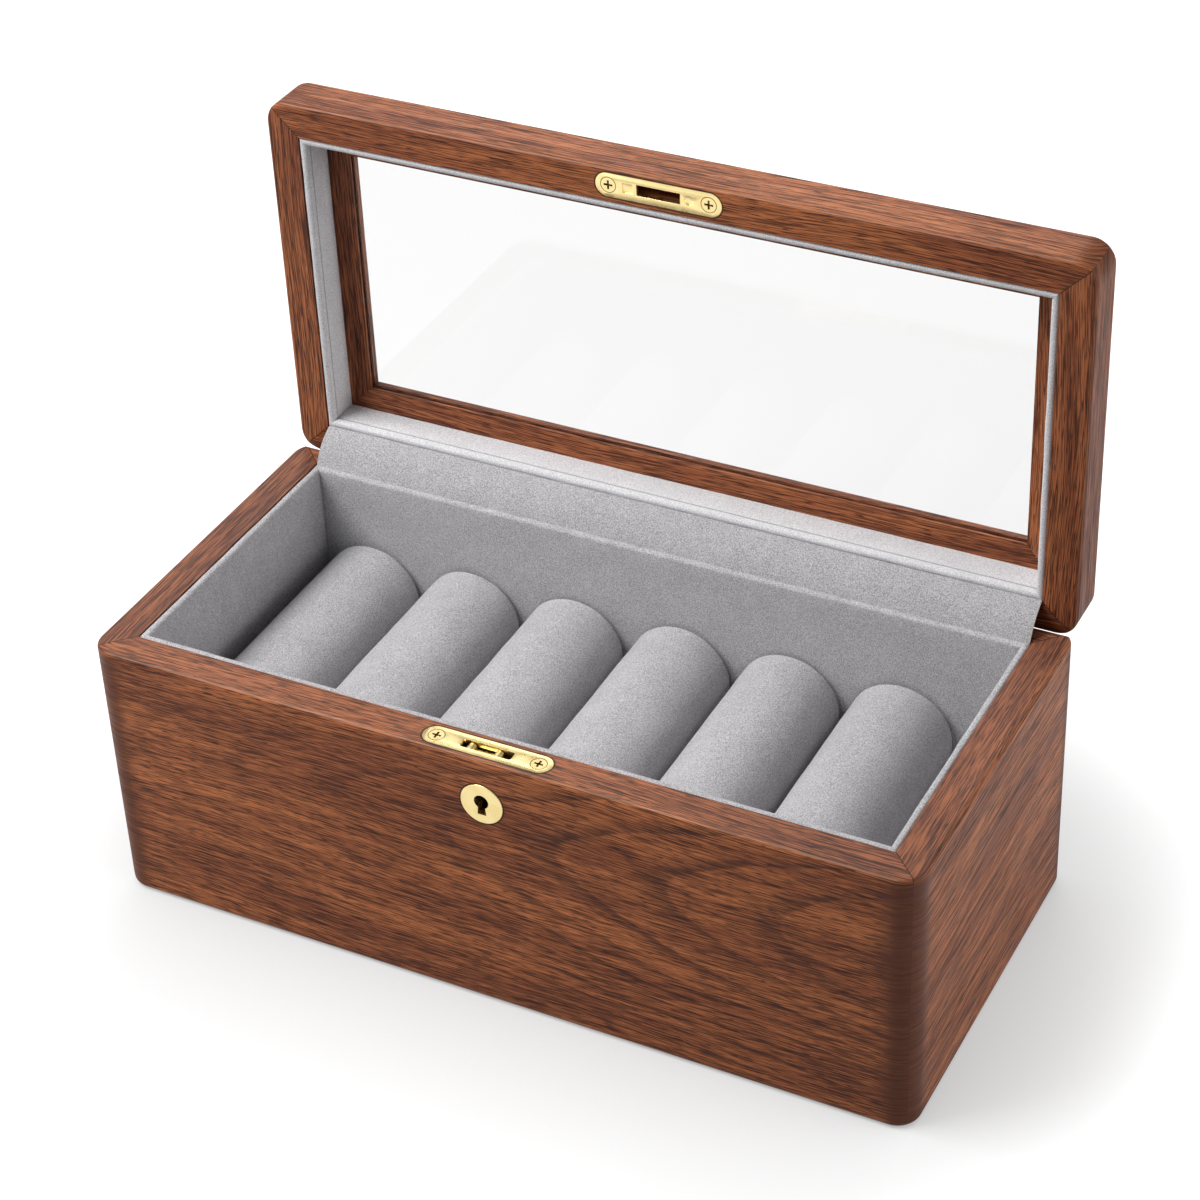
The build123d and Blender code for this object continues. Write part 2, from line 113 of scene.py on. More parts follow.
class Stuff(Enum):
    """What a piece of the frame is made of, with the words of its name that tell it."""

    GLASS = ("glass_pane",)
    PLYWOOD = ("bottom_panel",)
    CARD = ("roll_core",)
    VELVET = ("lining", "cradle", "roll", "strip")
    STEEL = ("lock_spring",)
    AGED_BRASS = ("lock_case", "key_pin")
    BRASS = ("",)

    @classmethod
    def of(cls, node: str) -> Stuff:
        """The first of them that has a word which is in the node's name."""
        return next(stuff for stuff in cls if any(word in node for word in stuff.value))


# Finishes
class Graph:
    """A new material's nodes, with short calls for the ones that the finishes use."""

    def __init__(self, name: str) -> None:
        """Starts a material.

        Args:
            name: What the material is called.
        """
        self.material = bpy.data.materials.new(name)
        self.material.use_nodes = True
        self.tree = self.material.node_tree
        self.shader = self.tree.nodes["Principled BSDF"]

    def feed(self, socket: Socket, value: object) -> None:
        """Links a socket to another, or sets its value.

        Args:
            socket: The input to feed.
            value: An output socket, or a plain value.
        """
        if isinstance(value, Socket):
            self.tree.links.new(value, socket)
        else:
            socket.default_value = value

    def set(self, **inputs: object) -> None:
        """Feeds the shader's inputs, named with underscores for spaces.

        Args:
            inputs: Values or sockets by input name.
        """
        for name, value in inputs.items():
            self.feed(self.shader.inputs[name.replace("_", " ")], value)

    def place(self) -> Socket:
        """The place on the object, in millimetres of the frame.

        Returns:
            A vector socket.
        """
        source = self.tree.nodes.new("ShaderNodeTexCoord")
        return self.vector("MULTIPLY", source.outputs["Object"], (1 / MM,) * 3)

    def axes(self, place: Socket) -> dict[str, Socket]:
        """Splits a vector.

        Args:
            place: The vector.

        Returns:
            Its X, Y and Z.
        """
        split = self.tree.nodes.new("ShaderNodeSeparateXYZ")
        self.feed(split.inputs[0], place)
        return {name: split.outputs[name] for name in "XYZ"}

    def joined(self, x: object, y: object, z: object) -> Socket:
        """Makes a vector of three numbers.

        Args:
            x: The first number or socket.
            y: The second.
            z: The third.

        Returns:
            The vector.
        """
        node = self.tree.nodes.new("ShaderNodeCombineXYZ")
        for socket, value in zip(node.inputs, (x, y, z)):
            self.feed(socket, value)
        return node.outputs[0]

    def vector(self, operation: str, first: object, second: object) -> Socket:
        """One vector sum.

        Args:
            operation: ADD, MULTIPLY or the like.
            first: A vector or socket.
            second: A vector or socket.

        Returns:
            The result.
        """
        node = self.tree.nodes.new("ShaderNodeVectorMath")
        node.operation = operation
        self.feed(node.inputs[0], first)
        self.feed(node.inputs[1], second)
        return node.outputs["Vector"]

    def math(self, operation: str, first: object, second: object = 0.0) -> Socket:
        """One sum.

        Args:
            operation: ADD, MULTIPLY, ABSOLUTE or the like.
            first: A number or socket.
            second: A number or socket.

        Returns:
            The result.
        """
        node = self.tree.nodes.new("ShaderNodeMath")
        node.operation = operation
        self.feed(node.inputs[0], first)
        self.feed(node.inputs[1], second)
        return node.outputs[0]

    def noise(self, place: object, stretch: Sequence[float], detail: float, rough: float) -> Socket:
        """A noise from 0 to 1 over a place.

        Args:
            place: The place, in millimetres.
            stretch: Waves per millimetre along each axis.
            detail: How many finer layers it has.
            rough: How strong the finer layers are.

        Returns:
            The noise.
        """
        node = self.tree.nodes.new("ShaderNodeTexNoise")
        self.feed(node.inputs["Vector"], self.vector("MULTIPLY", place, tuple(stretch)))
        node.inputs["Scale"].default_value = 1.0
        node.inputs["Detail"].default_value = detail
        node.inputs["Roughness"].default_value = rough
        return node.outputs["Fac"]

    def ramp(self, value: Socket, low: float, high: float, to_low: float = 0.0,
             to_high: float = 1.0) -> Socket:
        """Spreads a stretch of values smoothly over another, and holds it there beyond.

        Args:
            value: The value.
            low: Where the stretch starts.
            high: Where it ends.
            to_low: What the start becomes.
            to_high: What the end becomes.

        Returns:
            The spread value.
        """
        node = self.tree.nodes.new("ShaderNodeMapRange")
        node.interpolation_type = "SMOOTHSTEP"
        self.feed(node.inputs["Value"], value)
        for name, number in (("From Min", low), ("From Max", high), ("To Min", to_low), ("To Max", to_high)):
            node.inputs[name].default_value = number
        return node.outputs["Result"]

    def mix(self, share: object, first: object, second: object) -> Socket:
        """Mixes two colours.

        Args:
            share: How much of the second, from 0 to 1.
            first: A colour or socket.
            second: A colour or socket.

        Returns:
            The colour.
        """
        node = self.tree.nodes.new("ShaderNodeMix")
        node.data_type = "RGBA"
        self.feed(node.inputs[0], share)
        self.feed(node.inputs[6], first)
        self.feed(node.inputs[7], second)
        return node.outputs[2]

    def bump(self, height: Socket, deep: float, strength: float = 1.0) -> None:
        """Gives the shader a relief.

        Args:
            height: The relief, from 0 to 1.
            deep: How deep it is, in millimetres.
            strength: How much of it shows.
        """
        node = self.tree.nodes.new("ShaderNodeBump")
        node.inputs["Strength"].default_value = strength
        node.inputs["Distance"].default_value = deep * MM
        self.feed(node.inputs["Height"], height)
        self.feed(self.shader.inputs["Normal"], node.outputs["Normal"])

    def off(self, value: Socket, centre: float) -> Socket:
        """How far a value is from a centre, either way."""
        return self.math("ABSOLUTE", self.math("SUBTRACT", value, centre))

    def weighed(self, first: Socket, share: float, second: Socket, other: float) -> Socket:
        """Adds two values, each multiplied by its share."""
        return self.math("ADD", self.math("MULTIPLY", first, share), self.math("MULTIPLY", second, other))

    def line(self, off: Socket, half: float, fade: float) -> Socket:
        """A line's strength at a distance: 1 within its half width, and 0 past the fade beyond that."""
        return self.ramp(off, half, half + fade, 1.0, 0.0)


@dataclass(frozen=True)
class Layer:
    """One layer of noise: its waves per millimetre along three axes, and how fine and rough it is."""

    along: float
    up: float
    into: float
    detail: float
    rough: float = 0.5

    def read(self, graph: Graph, place: Socket, closer: float = 1.0) -> Socket:
        """The layer's noise at a place, with its waves made closer along the first axis."""
        return graph.noise(place, (self.along * closer, self.up, self.into), self.detail, self.rough)


@dataclass(frozen=True)
class Mark:
    """Something drawn on a board's surface: how strong it is, and its colour."""

    strength: float
    ink: Colour

    def shade(self, graph: Graph, place: Socket) -> Socket:
        """Where the mark shows.

        Args:
            graph: The material's nodes.
            place: The place in the frame, in millimetres.

        Returns:
            1 on the mark and 0 off it.
        """
        raise NotImplementedError

    def draw(self, graph: Graph, place: Socket, colour: Socket) -> Socket:
        """Draws the mark over a colour.

        Args:
            graph: The material's nodes.
            place: The place in the frame, in millimetres.
            colour: The colour below.

        Returns:
            The colour with the mark on it.
        """
        return graph.mix(graph.math("MULTIPLY", self.shade(graph, place), self.strength), colour, self.ink)


@dataclass(frozen=True)
class Mitre(Mark):
    """The dark hairline where two boards meet at 45 degrees, strong on one face and faint beyond it."""

    across: str
    centre: float
    reach: float
    face: tuple[str, float, float]
    faint: float = 0.12
    line: float = 0.16
    fade: float = 0.3

    def shade(self, graph: Graph, place: Socket) -> Socket:
        """Where the joint shows.

        Args:
            graph: The material's nodes.
            place: The place in the frame, in millimetres.

        Returns:
            1 on the joint and 0 off it.
        """
        axes = graph.axes(place)
        wide = graph.math("ABSOLUTE", axes["X"])
        deep = graph.off(axes[self.across], self.centre)
        off = graph.off(graph.math("SUBTRACT", wide, deep), self.reach)
        axis, beyond, on_face = self.face
        shown = graph.ramp(axes[axis], beyond, on_face, self.faint, 1.0)
        return graph.math("MULTIPLY", graph.line(off, self.line, self.fade), shown)


@dataclass(frozen=True)
class ShadedCorner(Mark):
    """The darker end grain round an upright corner, where both boards' ends are cut through, with painted
    shade over that rounding.
    """

    across: str
    centre: float
    sums: tuple[float, float]
    face: tuple[str, float, float]

    def shade(self, graph: Graph, place: Socket) -> Socket:
        """Where the end grain and the painted shade show.

        Args:
            graph: The material's nodes.
            place: The place in the frame, in millimetres.

        Returns:
            1 on the corner and 0 off it.
        """
        axes = graph.axes(place)
        wide = graph.math("ABSOLUTE", axes["X"])
        deep = graph.off(axes[self.across], self.centre)
        axis, none, full = self.face
        return graph.math("MULTIPLY", graph.ramp(graph.math("ADD", wide, deep), *self.sums),
                          graph.ramp(axes[axis], none, full))


@dataclass(frozen=True)
class Outline(Mark):
    """A painted shadow line in the gap round a fitting with round ends that is let into a flat face."""

    along: tuple[str, float]
    across: tuple[str, float]
    face: tuple[str, float]
    straight: float
    radius: float
    line: float = 0.26
    fade: float = 0.26
    skin: tuple[float, float] = (0.8, 1.6)

    def shade(self, graph: Graph, place: Socket) -> Socket:
        """Where the line shows.

        Args:
            graph: The material's nodes.
            place: The place in the frame, in millimetres.

        Returns:
            1 on the line and 0 off it.
        """
        axes = graph.axes(place)
        centres = (self.along, self.across, self.face)
        along, across, sunk = (graph.off(axes[axis], centre) for axis, centre in centres)
        end = graph.math("MAXIMUM", graph.math("SUBTRACT", along, self.straight), 0.0)
        squares = graph.math("ADD", graph.math("MULTIPLY", end, end), graph.math("MULTIPLY", across, across))
        gap = graph.off(graph.math("SQRT", squares), self.radius)
        line = graph.line(gap, self.line, self.fade)
        return graph.math("MULTIPLY", line, graph.ramp(sunk, *self.skin, 1.0, 0.0))


@dataclass(frozen=True)
class Beyond(Mark):
    """A tint past a level along one axis: the painted shade inside a screw's cross, and the painted shade and
    grey sheen on a rim's top face.
    """

    axis: str
    level: float
    full: float

    def shade(self, graph: Graph, place: Socket) -> Socket:
        """1 where the place is past the full level, and 0 before the first."""
        return graph.ramp(graph.axes(place)[self.axis], self.level, self.full)


@dataclass(frozen=True)
class ArrisHighlight(Mark):
    """A painted highlight along a rounded edge, where its curve would catch the light."""

    first: tuple[str, float]
    second: tuple[str, float]
    line: float = 0.10
    fade: float = 0.50

    def shade(self, graph: Graph, place: Socket) -> Socket:
        """Where the painted highlight shows.

        Args:
            graph: The material's nodes.
            place: The place in the frame, in millimetres.

        Returns:
            1 on the edge and 0 off it.
        """
        axes = graph.axes(place)
        total = 0.0
        for axis, centre in (self.first, self.second):
            off = graph.math("SUBTRACT", axes[axis], centre)
            total = graph.math("ADD", graph.math("MULTIPLY", off, off), total)
        return graph.line(graph.math("SQRT", total), self.line, self.fade)


@dataclass(frozen=True)
class Figure:
    """The arched figure that growth rings leave near one end of a board, in millimetres of the frame."""

    start: float = 115.0
    middle: float = 77.0
    shown_from: tuple[float, float] = (-60.0, 60.0)
    faint: float = 0.35
    bend: float = 15.0
    ring_width: float = 42.0
    wander: Layer = Layer(0.012, 0.030, 0.02, 1.0)
    wander_by: float = 11.0
    ragged: Layer = Layer(0.12, 1.3, 0.1, 1.0)
    ragged_by: float = 4.0
    darkens: tuple[float, float] = (0.55, 0.93)
    ends: tuple[float, float] = (0.94, 1.0)
    year: Layer = Layer(0.61, 1.0, 1.0, 1.0)
    years: tuple[float, float] = (0.35, 0.62)
    ring_shares: tuple[float, float] = (0.48, 0.78)
    skin: tuple[float, float] = (0.5, 3.0)
    under_skin: float = 0.1
    dusk_from: tuple[float, float] = (60.0, 130.0)
    dusk: float = 0.18

    def draw(self, graph: Graph, board: Socket, face: float, colour: Socket, ink: Colour) -> Socket:
        """Draws the rings over a colour.

        Args:
            graph: The material's nodes.
            board: The place along, up and into the board.
            face: Where the board's shown face is, into the board.
            colour: The colour below.
            ink: The rings' colour.

        Returns:
            The colour with the figure on it.
        """
        part = graph.axes(board)
        wander = graph.math("SUBTRACT", self.wander.read(graph, board), 0.5)
        ragged = self.ragged.read(graph, board)
        up = graph.math("SUBTRACT", part["Y"], self.middle)
        up = graph.math("ADD", up, graph.math("MULTIPLY", wander, self.wander_by))
        arch = graph.math("DIVIDE", graph.math("MULTIPLY", up, up), self.bend)
        along = graph.math("SUBTRACT", graph.math("SUBTRACT", part["X"], self.start), arch)
        along = graph.math("ADD", along, graph.math("MULTIPLY", ragged, self.ragged_by))
        turns = graph.math("DIVIDE", along, self.ring_width)
        season = graph.math("FRACT", turns)
        early = graph.ramp(season, *self.darkens)
        late = graph.math("MULTIPLY", early, graph.ramp(season, *self.ends, 1.0, 0.0))
        year = self.year.read(graph, graph.joined(turns, 0.0, 0.0))
        ring = graph.math("MULTIPLY", late, graph.ramp(year, *self.years, *self.ring_shares))
        there = graph.ramp(part["X"], *self.shown_from, self.faint, 1.0)
        sunk = graph.ramp(graph.off(part["Z"], face), *self.skin, 1.0, self.under_skin)
        there = graph.math("MULTIPLY", there, sunk)
        near = graph.ramp(part["X"], *self.dusk_from)
        colour = graph.mix(graph.math("MULTIPLY", near, self.dusk), colour, ink)
        return graph.mix(graph.math("MULTIPLY", ring, there), colour, ink)


@dataclass(frozen=True)
class Walnut:
    """Oiled walnut: soft colour bands, dark fibre strokes and fine pores along the grain.

    The layers are read in millimetres along, up and into the board. A pair of limits says where on
    a layer's noise, from 0 to 1, its stain starts and where it is full.
    """

    grain: Grain
    face: float
    marks: tuple[Mark, ...] = ()
    shift: tuple[float, float, float] = (0.0, 0.0, 0.0)
    stretch: float = 0.62
    figure: Figure | None = None
    light: Colour = (0.622, 0.206, 0.074, 1.0)
    middle: Colour = (0.292, 0.083, 0.032, 1.0)
    dark: Colour = (0.038, 0.011, 0.007, 1.0)
    sway: Layer = Layer(0.008, 0.014, 0.014, 0.0)
    sway_by: float = 8.0
    into: float = 0.1
    broad: Layer = Layer(0.006, 0.060, 0.05, 2.0, 0.55)
    broad_share: float = 0.55
    band: Layer = Layer(0.009, 0.26, 0.25, 2.0)
    band_share: float = 0.45
    stroke: Layer = Layer(0.062, 1.55, 0.5, 1.0)
    fine: Layer = Layer(0.13, 2.8, 0.5, 1.0)
    pore: Layer = Layer(0.24, 3.6, 0.5, 0.0)
    tones: tuple[float, float] = (0.39, 0.61)
    strokes: tuple[float, float] = (0.50, 0.36)
    stroke_tones: tuple[float, float] = (0.38, 0.60)
    stroke_shares: tuple[float, float] = (0.80, 0.60)
    fines: tuple[float, float] = (0.49, 0.38)
    fine_share: float = 0.72
    glints: tuple[float, float] = (0.53, 0.66)
    glint_share: float = 0.50
    pores: tuple[float, float] = (0.38, 0.30)
    pore_share: float = 0.86
    fine_rise: float = 0.4
    stroke_rise: float = 0.5
    pore_fall: float = 0.5
    relief: float = 0.12
    relief_shown: float = 0.4
    roughness_limits: tuple[float, float] = (0.3, 0.7)
    roughness: tuple[float, float] = (0.60, 0.42)
    shine: float = 0.20

    def fibres(self, graph: Graph, board: Socket) -> Socket:
        """The board's place with its grain bent a little, as the fibres run, unrolled over face and edge.

        Args:
            graph: The material's nodes.
            board: The place along, up and into the board.

        Returns:
            The bent place.
        """
        part = graph.axes(board)
        sway = self.sway.read(graph, board)
        lifted = graph.math("ADD", part["Y"], graph.math("MULTIPLY", sway, self.sway_by))
        normals = graph.tree.nodes.new("ShaderNodeTexCoord").outputs["Normal"]
        upward = graph.axes(normals)[self.grain.value[1]]
        deep = graph.off(part["Z"], self.face)
        lifted = graph.math("ADD", lifted, graph.math("MULTIPLY", deep, upward))
        moved = graph.joined(part["X"], lifted, graph.math("MULTIPLY", part["Z"], self.into))
        return graph.vector("ADD", moved, self.shift)

    def dress(self, name: str) -> bpy.types.Material:
        """Makes the material.

        Args:
            name: What it is called.

        Returns:
            The material.
        """
        graph = Graph(name)
        place = graph.place()
        axes = graph.axes(place)
        board = graph.joined(*[axes[letter] for letter in self.grain.value])
        fibre = self.fibres(graph, board)
        broad, band = self.broad.read(graph, fibre), self.band.read(graph, fibre)
        layers = (self.stroke, self.fine, self.pore)
        stroke, fine, pore = (layer.read(graph, fibre, self.stretch) for layer in layers)
        tone = graph.weighed(broad, self.broad_share, band, self.band_share)
        colour = graph.mix(graph.ramp(tone, *self.tones), self.middle, self.light)
        if self.figure:
            colour = self.figure.draw(graph, board, self.face, colour, self.dark)
        pores = graph.ramp(pore, *self.pores)
        stroke_share = graph.ramp(tone, *self.stroke_tones, *self.stroke_shares)
        stains = (
            (graph.ramp(stroke, *self.strokes), stroke_share, self.dark),
            (graph.ramp(fine, *self.fines), self.fine_share, self.dark),
            (graph.ramp(fine, *self.glints), self.glint_share, self.light),
            (pores, self.pore_share, self.dark),
        )
        for shown, share, ink in stains:
            colour = graph.mix(graph.math("MULTIPLY", shown, share), colour, ink)
        relief = graph.weighed(fine, self.fine_rise, stroke, self.stroke_rise)
        relief = graph.math("SUBTRACT", relief, graph.math("MULTIPLY", pores, self.pore_fall))
        for mark in self.marks:
            colour = mark.draw(graph, place, colour)
            if isinstance(mark, ShadedCorner):
                smooth = graph.math("SUBTRACT", 1.0, mark.shade(graph, place))
                relief = graph.math("MULTIPLY", relief, smooth)
        roughness = graph.ramp(stroke, *self.roughness_limits, *self.roughness)
        graph.set(Base_Color=colour, Roughness=roughness, Specular_IOR_Level=self.shine)
        graph.bump(relief, self.relief, self.relief_shown)
        return graph.material


@dataclass(frozen=True)
class Velvet:
    """Short-pile grey velvet: a mottled nap with fine speckle and a soft sheen."""

    deep: Colour = (0.320, 0.312, 0.324, 1.0)
    pale: Colour = (0.680, 0.670, 0.688, 1.0)
    crease: float | None = None
    cloud: Layer = Layer(0.11, 0.11, 0.11, 3.0, 0.6)
    cloud_share: float = 0.10
    grain: Layer = Layer(2.1, 2.1, 2.1, 1.0, 0.6)
    grain_share: float = 0.50
    point: Layer = Layer(3.2, 3.2, 3.2, 0.0)
    point_share: float = 0.40
    tones: tuple[float, float] = (0.34, 0.66)
    crease_line: tuple[float, float] = (0.15, 0.50)
    crease_share: float = 0.50
    crease_shade: Colour = (0.12, 0.118, 0.125, 1.0)
    roughness: float = 0.95
    shine: float = 0.08
    sheen: float = 0.30
    sheen_roughness: float = 0.40
    sheen_tint: Colour = (0.95, 0.95, 1.0, 1.0)
    grain_rise: float = 0.6
    point_rise: float = 0.4
    relief: float = 0.40
    relief_shown: float = 0.55

    def dress(self, name: str) -> bpy.types.Material:
        """Makes the material.

        Args:
            name: What it is called.

        Returns:
            The material.
        """
        graph = Graph(name)
        place = graph.place()
        cloud, grain, point = (layer.read(graph, place) for layer in (self.cloud, self.grain, self.point))
        tone = graph.weighed(cloud, self.cloud_share, grain, self.grain_share)
        tone = graph.math("ADD", tone, graph.math("MULTIPLY", point, self.point_share))
        colour = graph.mix(graph.ramp(tone, *self.tones), self.deep, self.pale)
        # A painted shade line along the crease beside the lining's rolled edge
        if self.crease is not None:
            off = graph.off(graph.axes(place)["Y"], self.crease)
            crease = graph.ramp(off, *self.crease_line, self.crease_share, 0.0)
            colour = graph.mix(crease, colour, self.crease_shade)
        graph.set(Base_Color=colour, Roughness=self.roughness, Specular_IOR_Level=self.shine)
        graph.set(Sheen_Weight=self.sheen, Sheen_Roughness=self.sheen_roughness, Sheen_Tint=self.sheen_tint)
        relief = graph.weighed(grain, self.grain_rise, point, self.point_rise)
        graph.bump(relief, self.relief, self.relief_shown)
        return graph.material


@dataclass(frozen=True)
class Metal:
    """A satin metal, with painted shade lines drawn round what is set in it."""

    colour: Colour
    worn: Colour
    marks: tuple[Mark, ...] = ()
    roughness: tuple[float, float] = (0.26, 0.34)
    smear: Layer = Layer(0.22, 0.22, 0.22, 2.0)
    smears: tuple[float, float] = (0.35, 0.65)

    def dress(self, name: str) -> bpy.types.Material:
        """Makes the material.

        Args:
            name: What it is called.

        Returns:
            The material.
        """
        graph = Graph(name)
        place = graph.place()
        smear = self.smear.read(graph, place)
        colour = graph.mix(graph.ramp(smear, *self.smears), self.colour, self.worn)
        for mark in self.marks:
            colour = mark.draw(graph, place, colour)
        graph.set(Base_Color=colour, Metallic=1.0, Roughness=graph.ramp(smear, *self.smears, *self.roughness))
        return graph.material


@dataclass(frozen=True)
class Glass:
    """A thin clear pane: most light goes straight through, and a coat on it mirrors."""

    tint: Colour = (0.968, 0.972, 0.970, 1.0)
    cover: float = 0.15
    bend: float = 1.01
    mirror: float = 2.2
    coat_roughness: float = 0.01

    def dress(self, name: str) -> bpy.types.Material:
        """Makes the material.

        Args:
            name: What it is called.

        Returns:
            The material.
        """
        graph = Graph(name)
        graph.set(Base_Color=self.tint, Roughness=0.0, Transmission_Weight=1.0, IOR=self.bend)
        graph.set(Coat_Weight=1.0, Coat_Roughness=self.coat_roughness, Coat_IOR=self.mirror)
        graph.set(Alpha=self.cover)
        return graph.material


@dataclass(frozen=True)
class Sheetwood:
    """Birch plywood or wound card: thin layers with a faint fleck along them."""

    pale: Colour
    brown: Colour
    layer: float = 1.25
    edge: tuple[float, float] = (0.22, 0.28)
    band_share: float = 0.35
    fleck: Layer = Layer(0.05, 0.9, 0.9, 3.0, 0.6)
    fleck_share: float = 0.65
    tones: tuple[float, float] = (0.25, 0.8)
    roughness: float = 0.7
    shine: float = 0.3
    relief: float = 0.1
    relief_shown: float = 0.4

    def dress(self, name: str) -> bpy.types.Material:
        """Makes the material.

        Args:
            name: What it is called.

        Returns:
            The material.
        """
        graph = Graph(name)
        place = graph.place()
        fleck = self.fleck.read(graph, place)
        height = graph.axes(place)["Z"]
        ply = graph.math("FRACT", graph.math("DIVIDE", height, 2 * self.layer))
        band = graph.ramp(graph.off(ply, 0.5), *self.edge)
        tone = graph.weighed(band, self.band_share, fleck, self.fleck_share)
        colour = graph.mix(graph.ramp(tone, *self.tones), self.pale, self.brown)
        graph.set(Base_Color=colour, Roughness=self.roughness, Specular_IOR_Level=self.shine)
        graph.bump(fleck, self.relief, self.relief_shown)
        return graph.material


VELVET = Velvet()
# The lid's linings: a paler copy of the velvet, painted light
LIT_LID_VELVET = Velvet((0.57, 0.56, 0.575, 1.0), (0.87, 0.86, 0.88, 1.0), crease=76.2)
# The hinge strip: a darker copy of the velvet, painted shade
SHADED_STRIP_VELVET = Velvet((0.292, 0.284, 0.297, 1.0), (0.620, 0.611, 0.628, 1.0))
CUT_EDGE = Velvet((0.62, 0.55, 0.45, 1.0), (0.80, 0.74, 0.62, 1.0))
BRASS = Metal(*GOLD)
AGED_BRASS = Metal((0.17, 0.13, 0.07, 1.0), (0.24, 0.18, 0.09, 1.0), roughness=(0.45, 0.55))
BLUED_STEEL = Metal((0.30, 0.31, 0.34, 1.0), (0.42, 0.42, 0.45, 1.0))
PLYWOOD = Sheetwood((0.62, 0.45, 0.27, 1.0), (0.42, 0.27, 0.14, 1.0))
CARD = Sheetwood((0.46, 0.36, 0.25, 1.0), (0.33, 0.25, 0.17, 1.0))


# Modelling
def pick(piece: bpy.types.Object) -> None:
    """Makes one object the only selected and the active one.

    Args:
        piece: The object.
    """
    bpy.ops.object.select_all(action="DESELECT")
    piece.select_set(True)
    bpy.context.view_layer.objects.active = piece


@contextmanager
def editing(piece: bpy.types.Object, by: str = "FACE") -> Iterator[None]:
    """Keeps a piece in edit mode, with nothing selected at the start.

    Args:
        piece: The piece.
        by: VERT, EDGE or FACE, what is selected.

    Yields:
        Nothing.
    """
    pick(piece)
    bpy.ops.object.mode_set(mode="EDIT")
    bpy.ops.mesh.select_mode(type=by)
    bpy.ops.mesh.select_all(action="DESELECT")
    yield
    bpy.ops.object.mode_set(mode="OBJECT")


def choose_edges(piece: bpy.types.Object, test: Callable[[Vector], bool], along: Vector,
                 near: float = 0.99) -> None:
    """Selects the edges that run one way and whose middle passes a test, in edit mode.

    Args:
        piece: The piece.
        test: What an edge's middle has to pass.
        along: The way that they run.
        near: The cosine of the angle that an edge may be off it.
    """
    mesh = bmesh.from_edit_mesh(piece.data)
    for edge in mesh.edges:
        first, second = (vertex.co for vertex in edge.verts)
        run = (second - first).normalized()
        if abs(run.dot(along)) > near and test((first + second) / 2):
            edge.select_set(True)
    bmesh.update_edit_mesh(piece.data)


def slice_at(places: Sequence[float], axis: Vector) -> None:
    """Cuts the whole mesh in edit mode by planes across an axis.

    Args:
        places: Where the planes stand along it.
        axis: The axis.
    """
    for place in places:
        bpy.ops.mesh.select_all(action="SELECT")
        bpy.ops.mesh.bisect(plane_co=axis * place, plane_no=axis)


def steps(low: float, high: float, pitch: float) -> list[float]:
    """Even places between two ends, without the ends.

    Args:
        low: The first end.
        high: The other end.
        pitch: About how far apart they are.

    Returns:
        The places.
    """
    count = max(1, round((high - low) / pitch))
    return [low + (high - low) * n / count for n in range(1, count)]


def settle(piece: bpy.types.Object, matrix: Matrix, angle: float = 40.0) -> bpy.types.Object:
    """Moves a piece to its place, with the place in its mesh, and smooths its shading.

    Args:
        piece: The piece.
        matrix: Its place in the frame.
        angle: The sharpest angle that is shaded smooth, in degrees.

    Returns:
        The piece.
    """
    piece.matrix_world = matrix @ piece.matrix_world
    pick(piece)
    bpy.ops.object.transform_apply(location=True, rotation=True, scale=True)
    bpy.ops.object.shade_smooth_by_angle(angle=math.radians(angle))
    return piece


def apply_all(piece: bpy.types.Object) -> None:
    """Applies every modifier of a piece.

    Args:
        piece: The piece.
    """
    pick(piece)
    for modifier in list(piece.modifiers):
        bpy.ops.object.modifier_apply(modifier=modifier.name)


def ripple(piece: bpy.types.Object, height: float, wave: float, seed: float) -> None:
    """Moves a piece's surface in and out a little, as cloth over a board does.

    Args:
        piece: The piece, already in its place.
        height: The most that a point moves.
        wave: The length of the swells.
        seed: Where in the noise it is read.
    """
    offset = Vector([seed * share for share in RIPPLE_WAY])
    normals = [vertex.normal.copy() for vertex in piece.data.vertices]
    for vertex, normal in zip(piece.data.vertices, normals):
        vertex.co += normal * (height * noise.noise(vertex.co / wave + offset))
    piece.data.update()


def finished(piece: bpy.types.Object, name: str, material: bpy.types.Material) -> bpy.types.Object:
    """Names a piece and gives it one material.

    Args:
        piece: The piece.
        name: Its name.
        material: Its material.

    Returns:
        The piece.
    """
    piece.name = name
    piece.data.name = name
    piece.data.materials.clear()
    piece.data.materials.append(material)
    return piece


def clad(node: bpy.types.Object, material: bpy.types.Material) -> None:
    """Gives a piece of the frame its finish.

    Args:
        node: The frame's object.
        material: The finish.
    """
    if not node.material_slots:
        node.data.materials.append(material)
    for slot in node.material_slots:
        slot.link = "OBJECT"
        slot.material = material


def spot(node: str) -> Vector:
    """The middle of a frame piece.

    Args:
        node: The piece.

    Returns:
        Its middle, in millimetres.
    """
    low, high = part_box(node)
    return (low + high) / 2 / MM


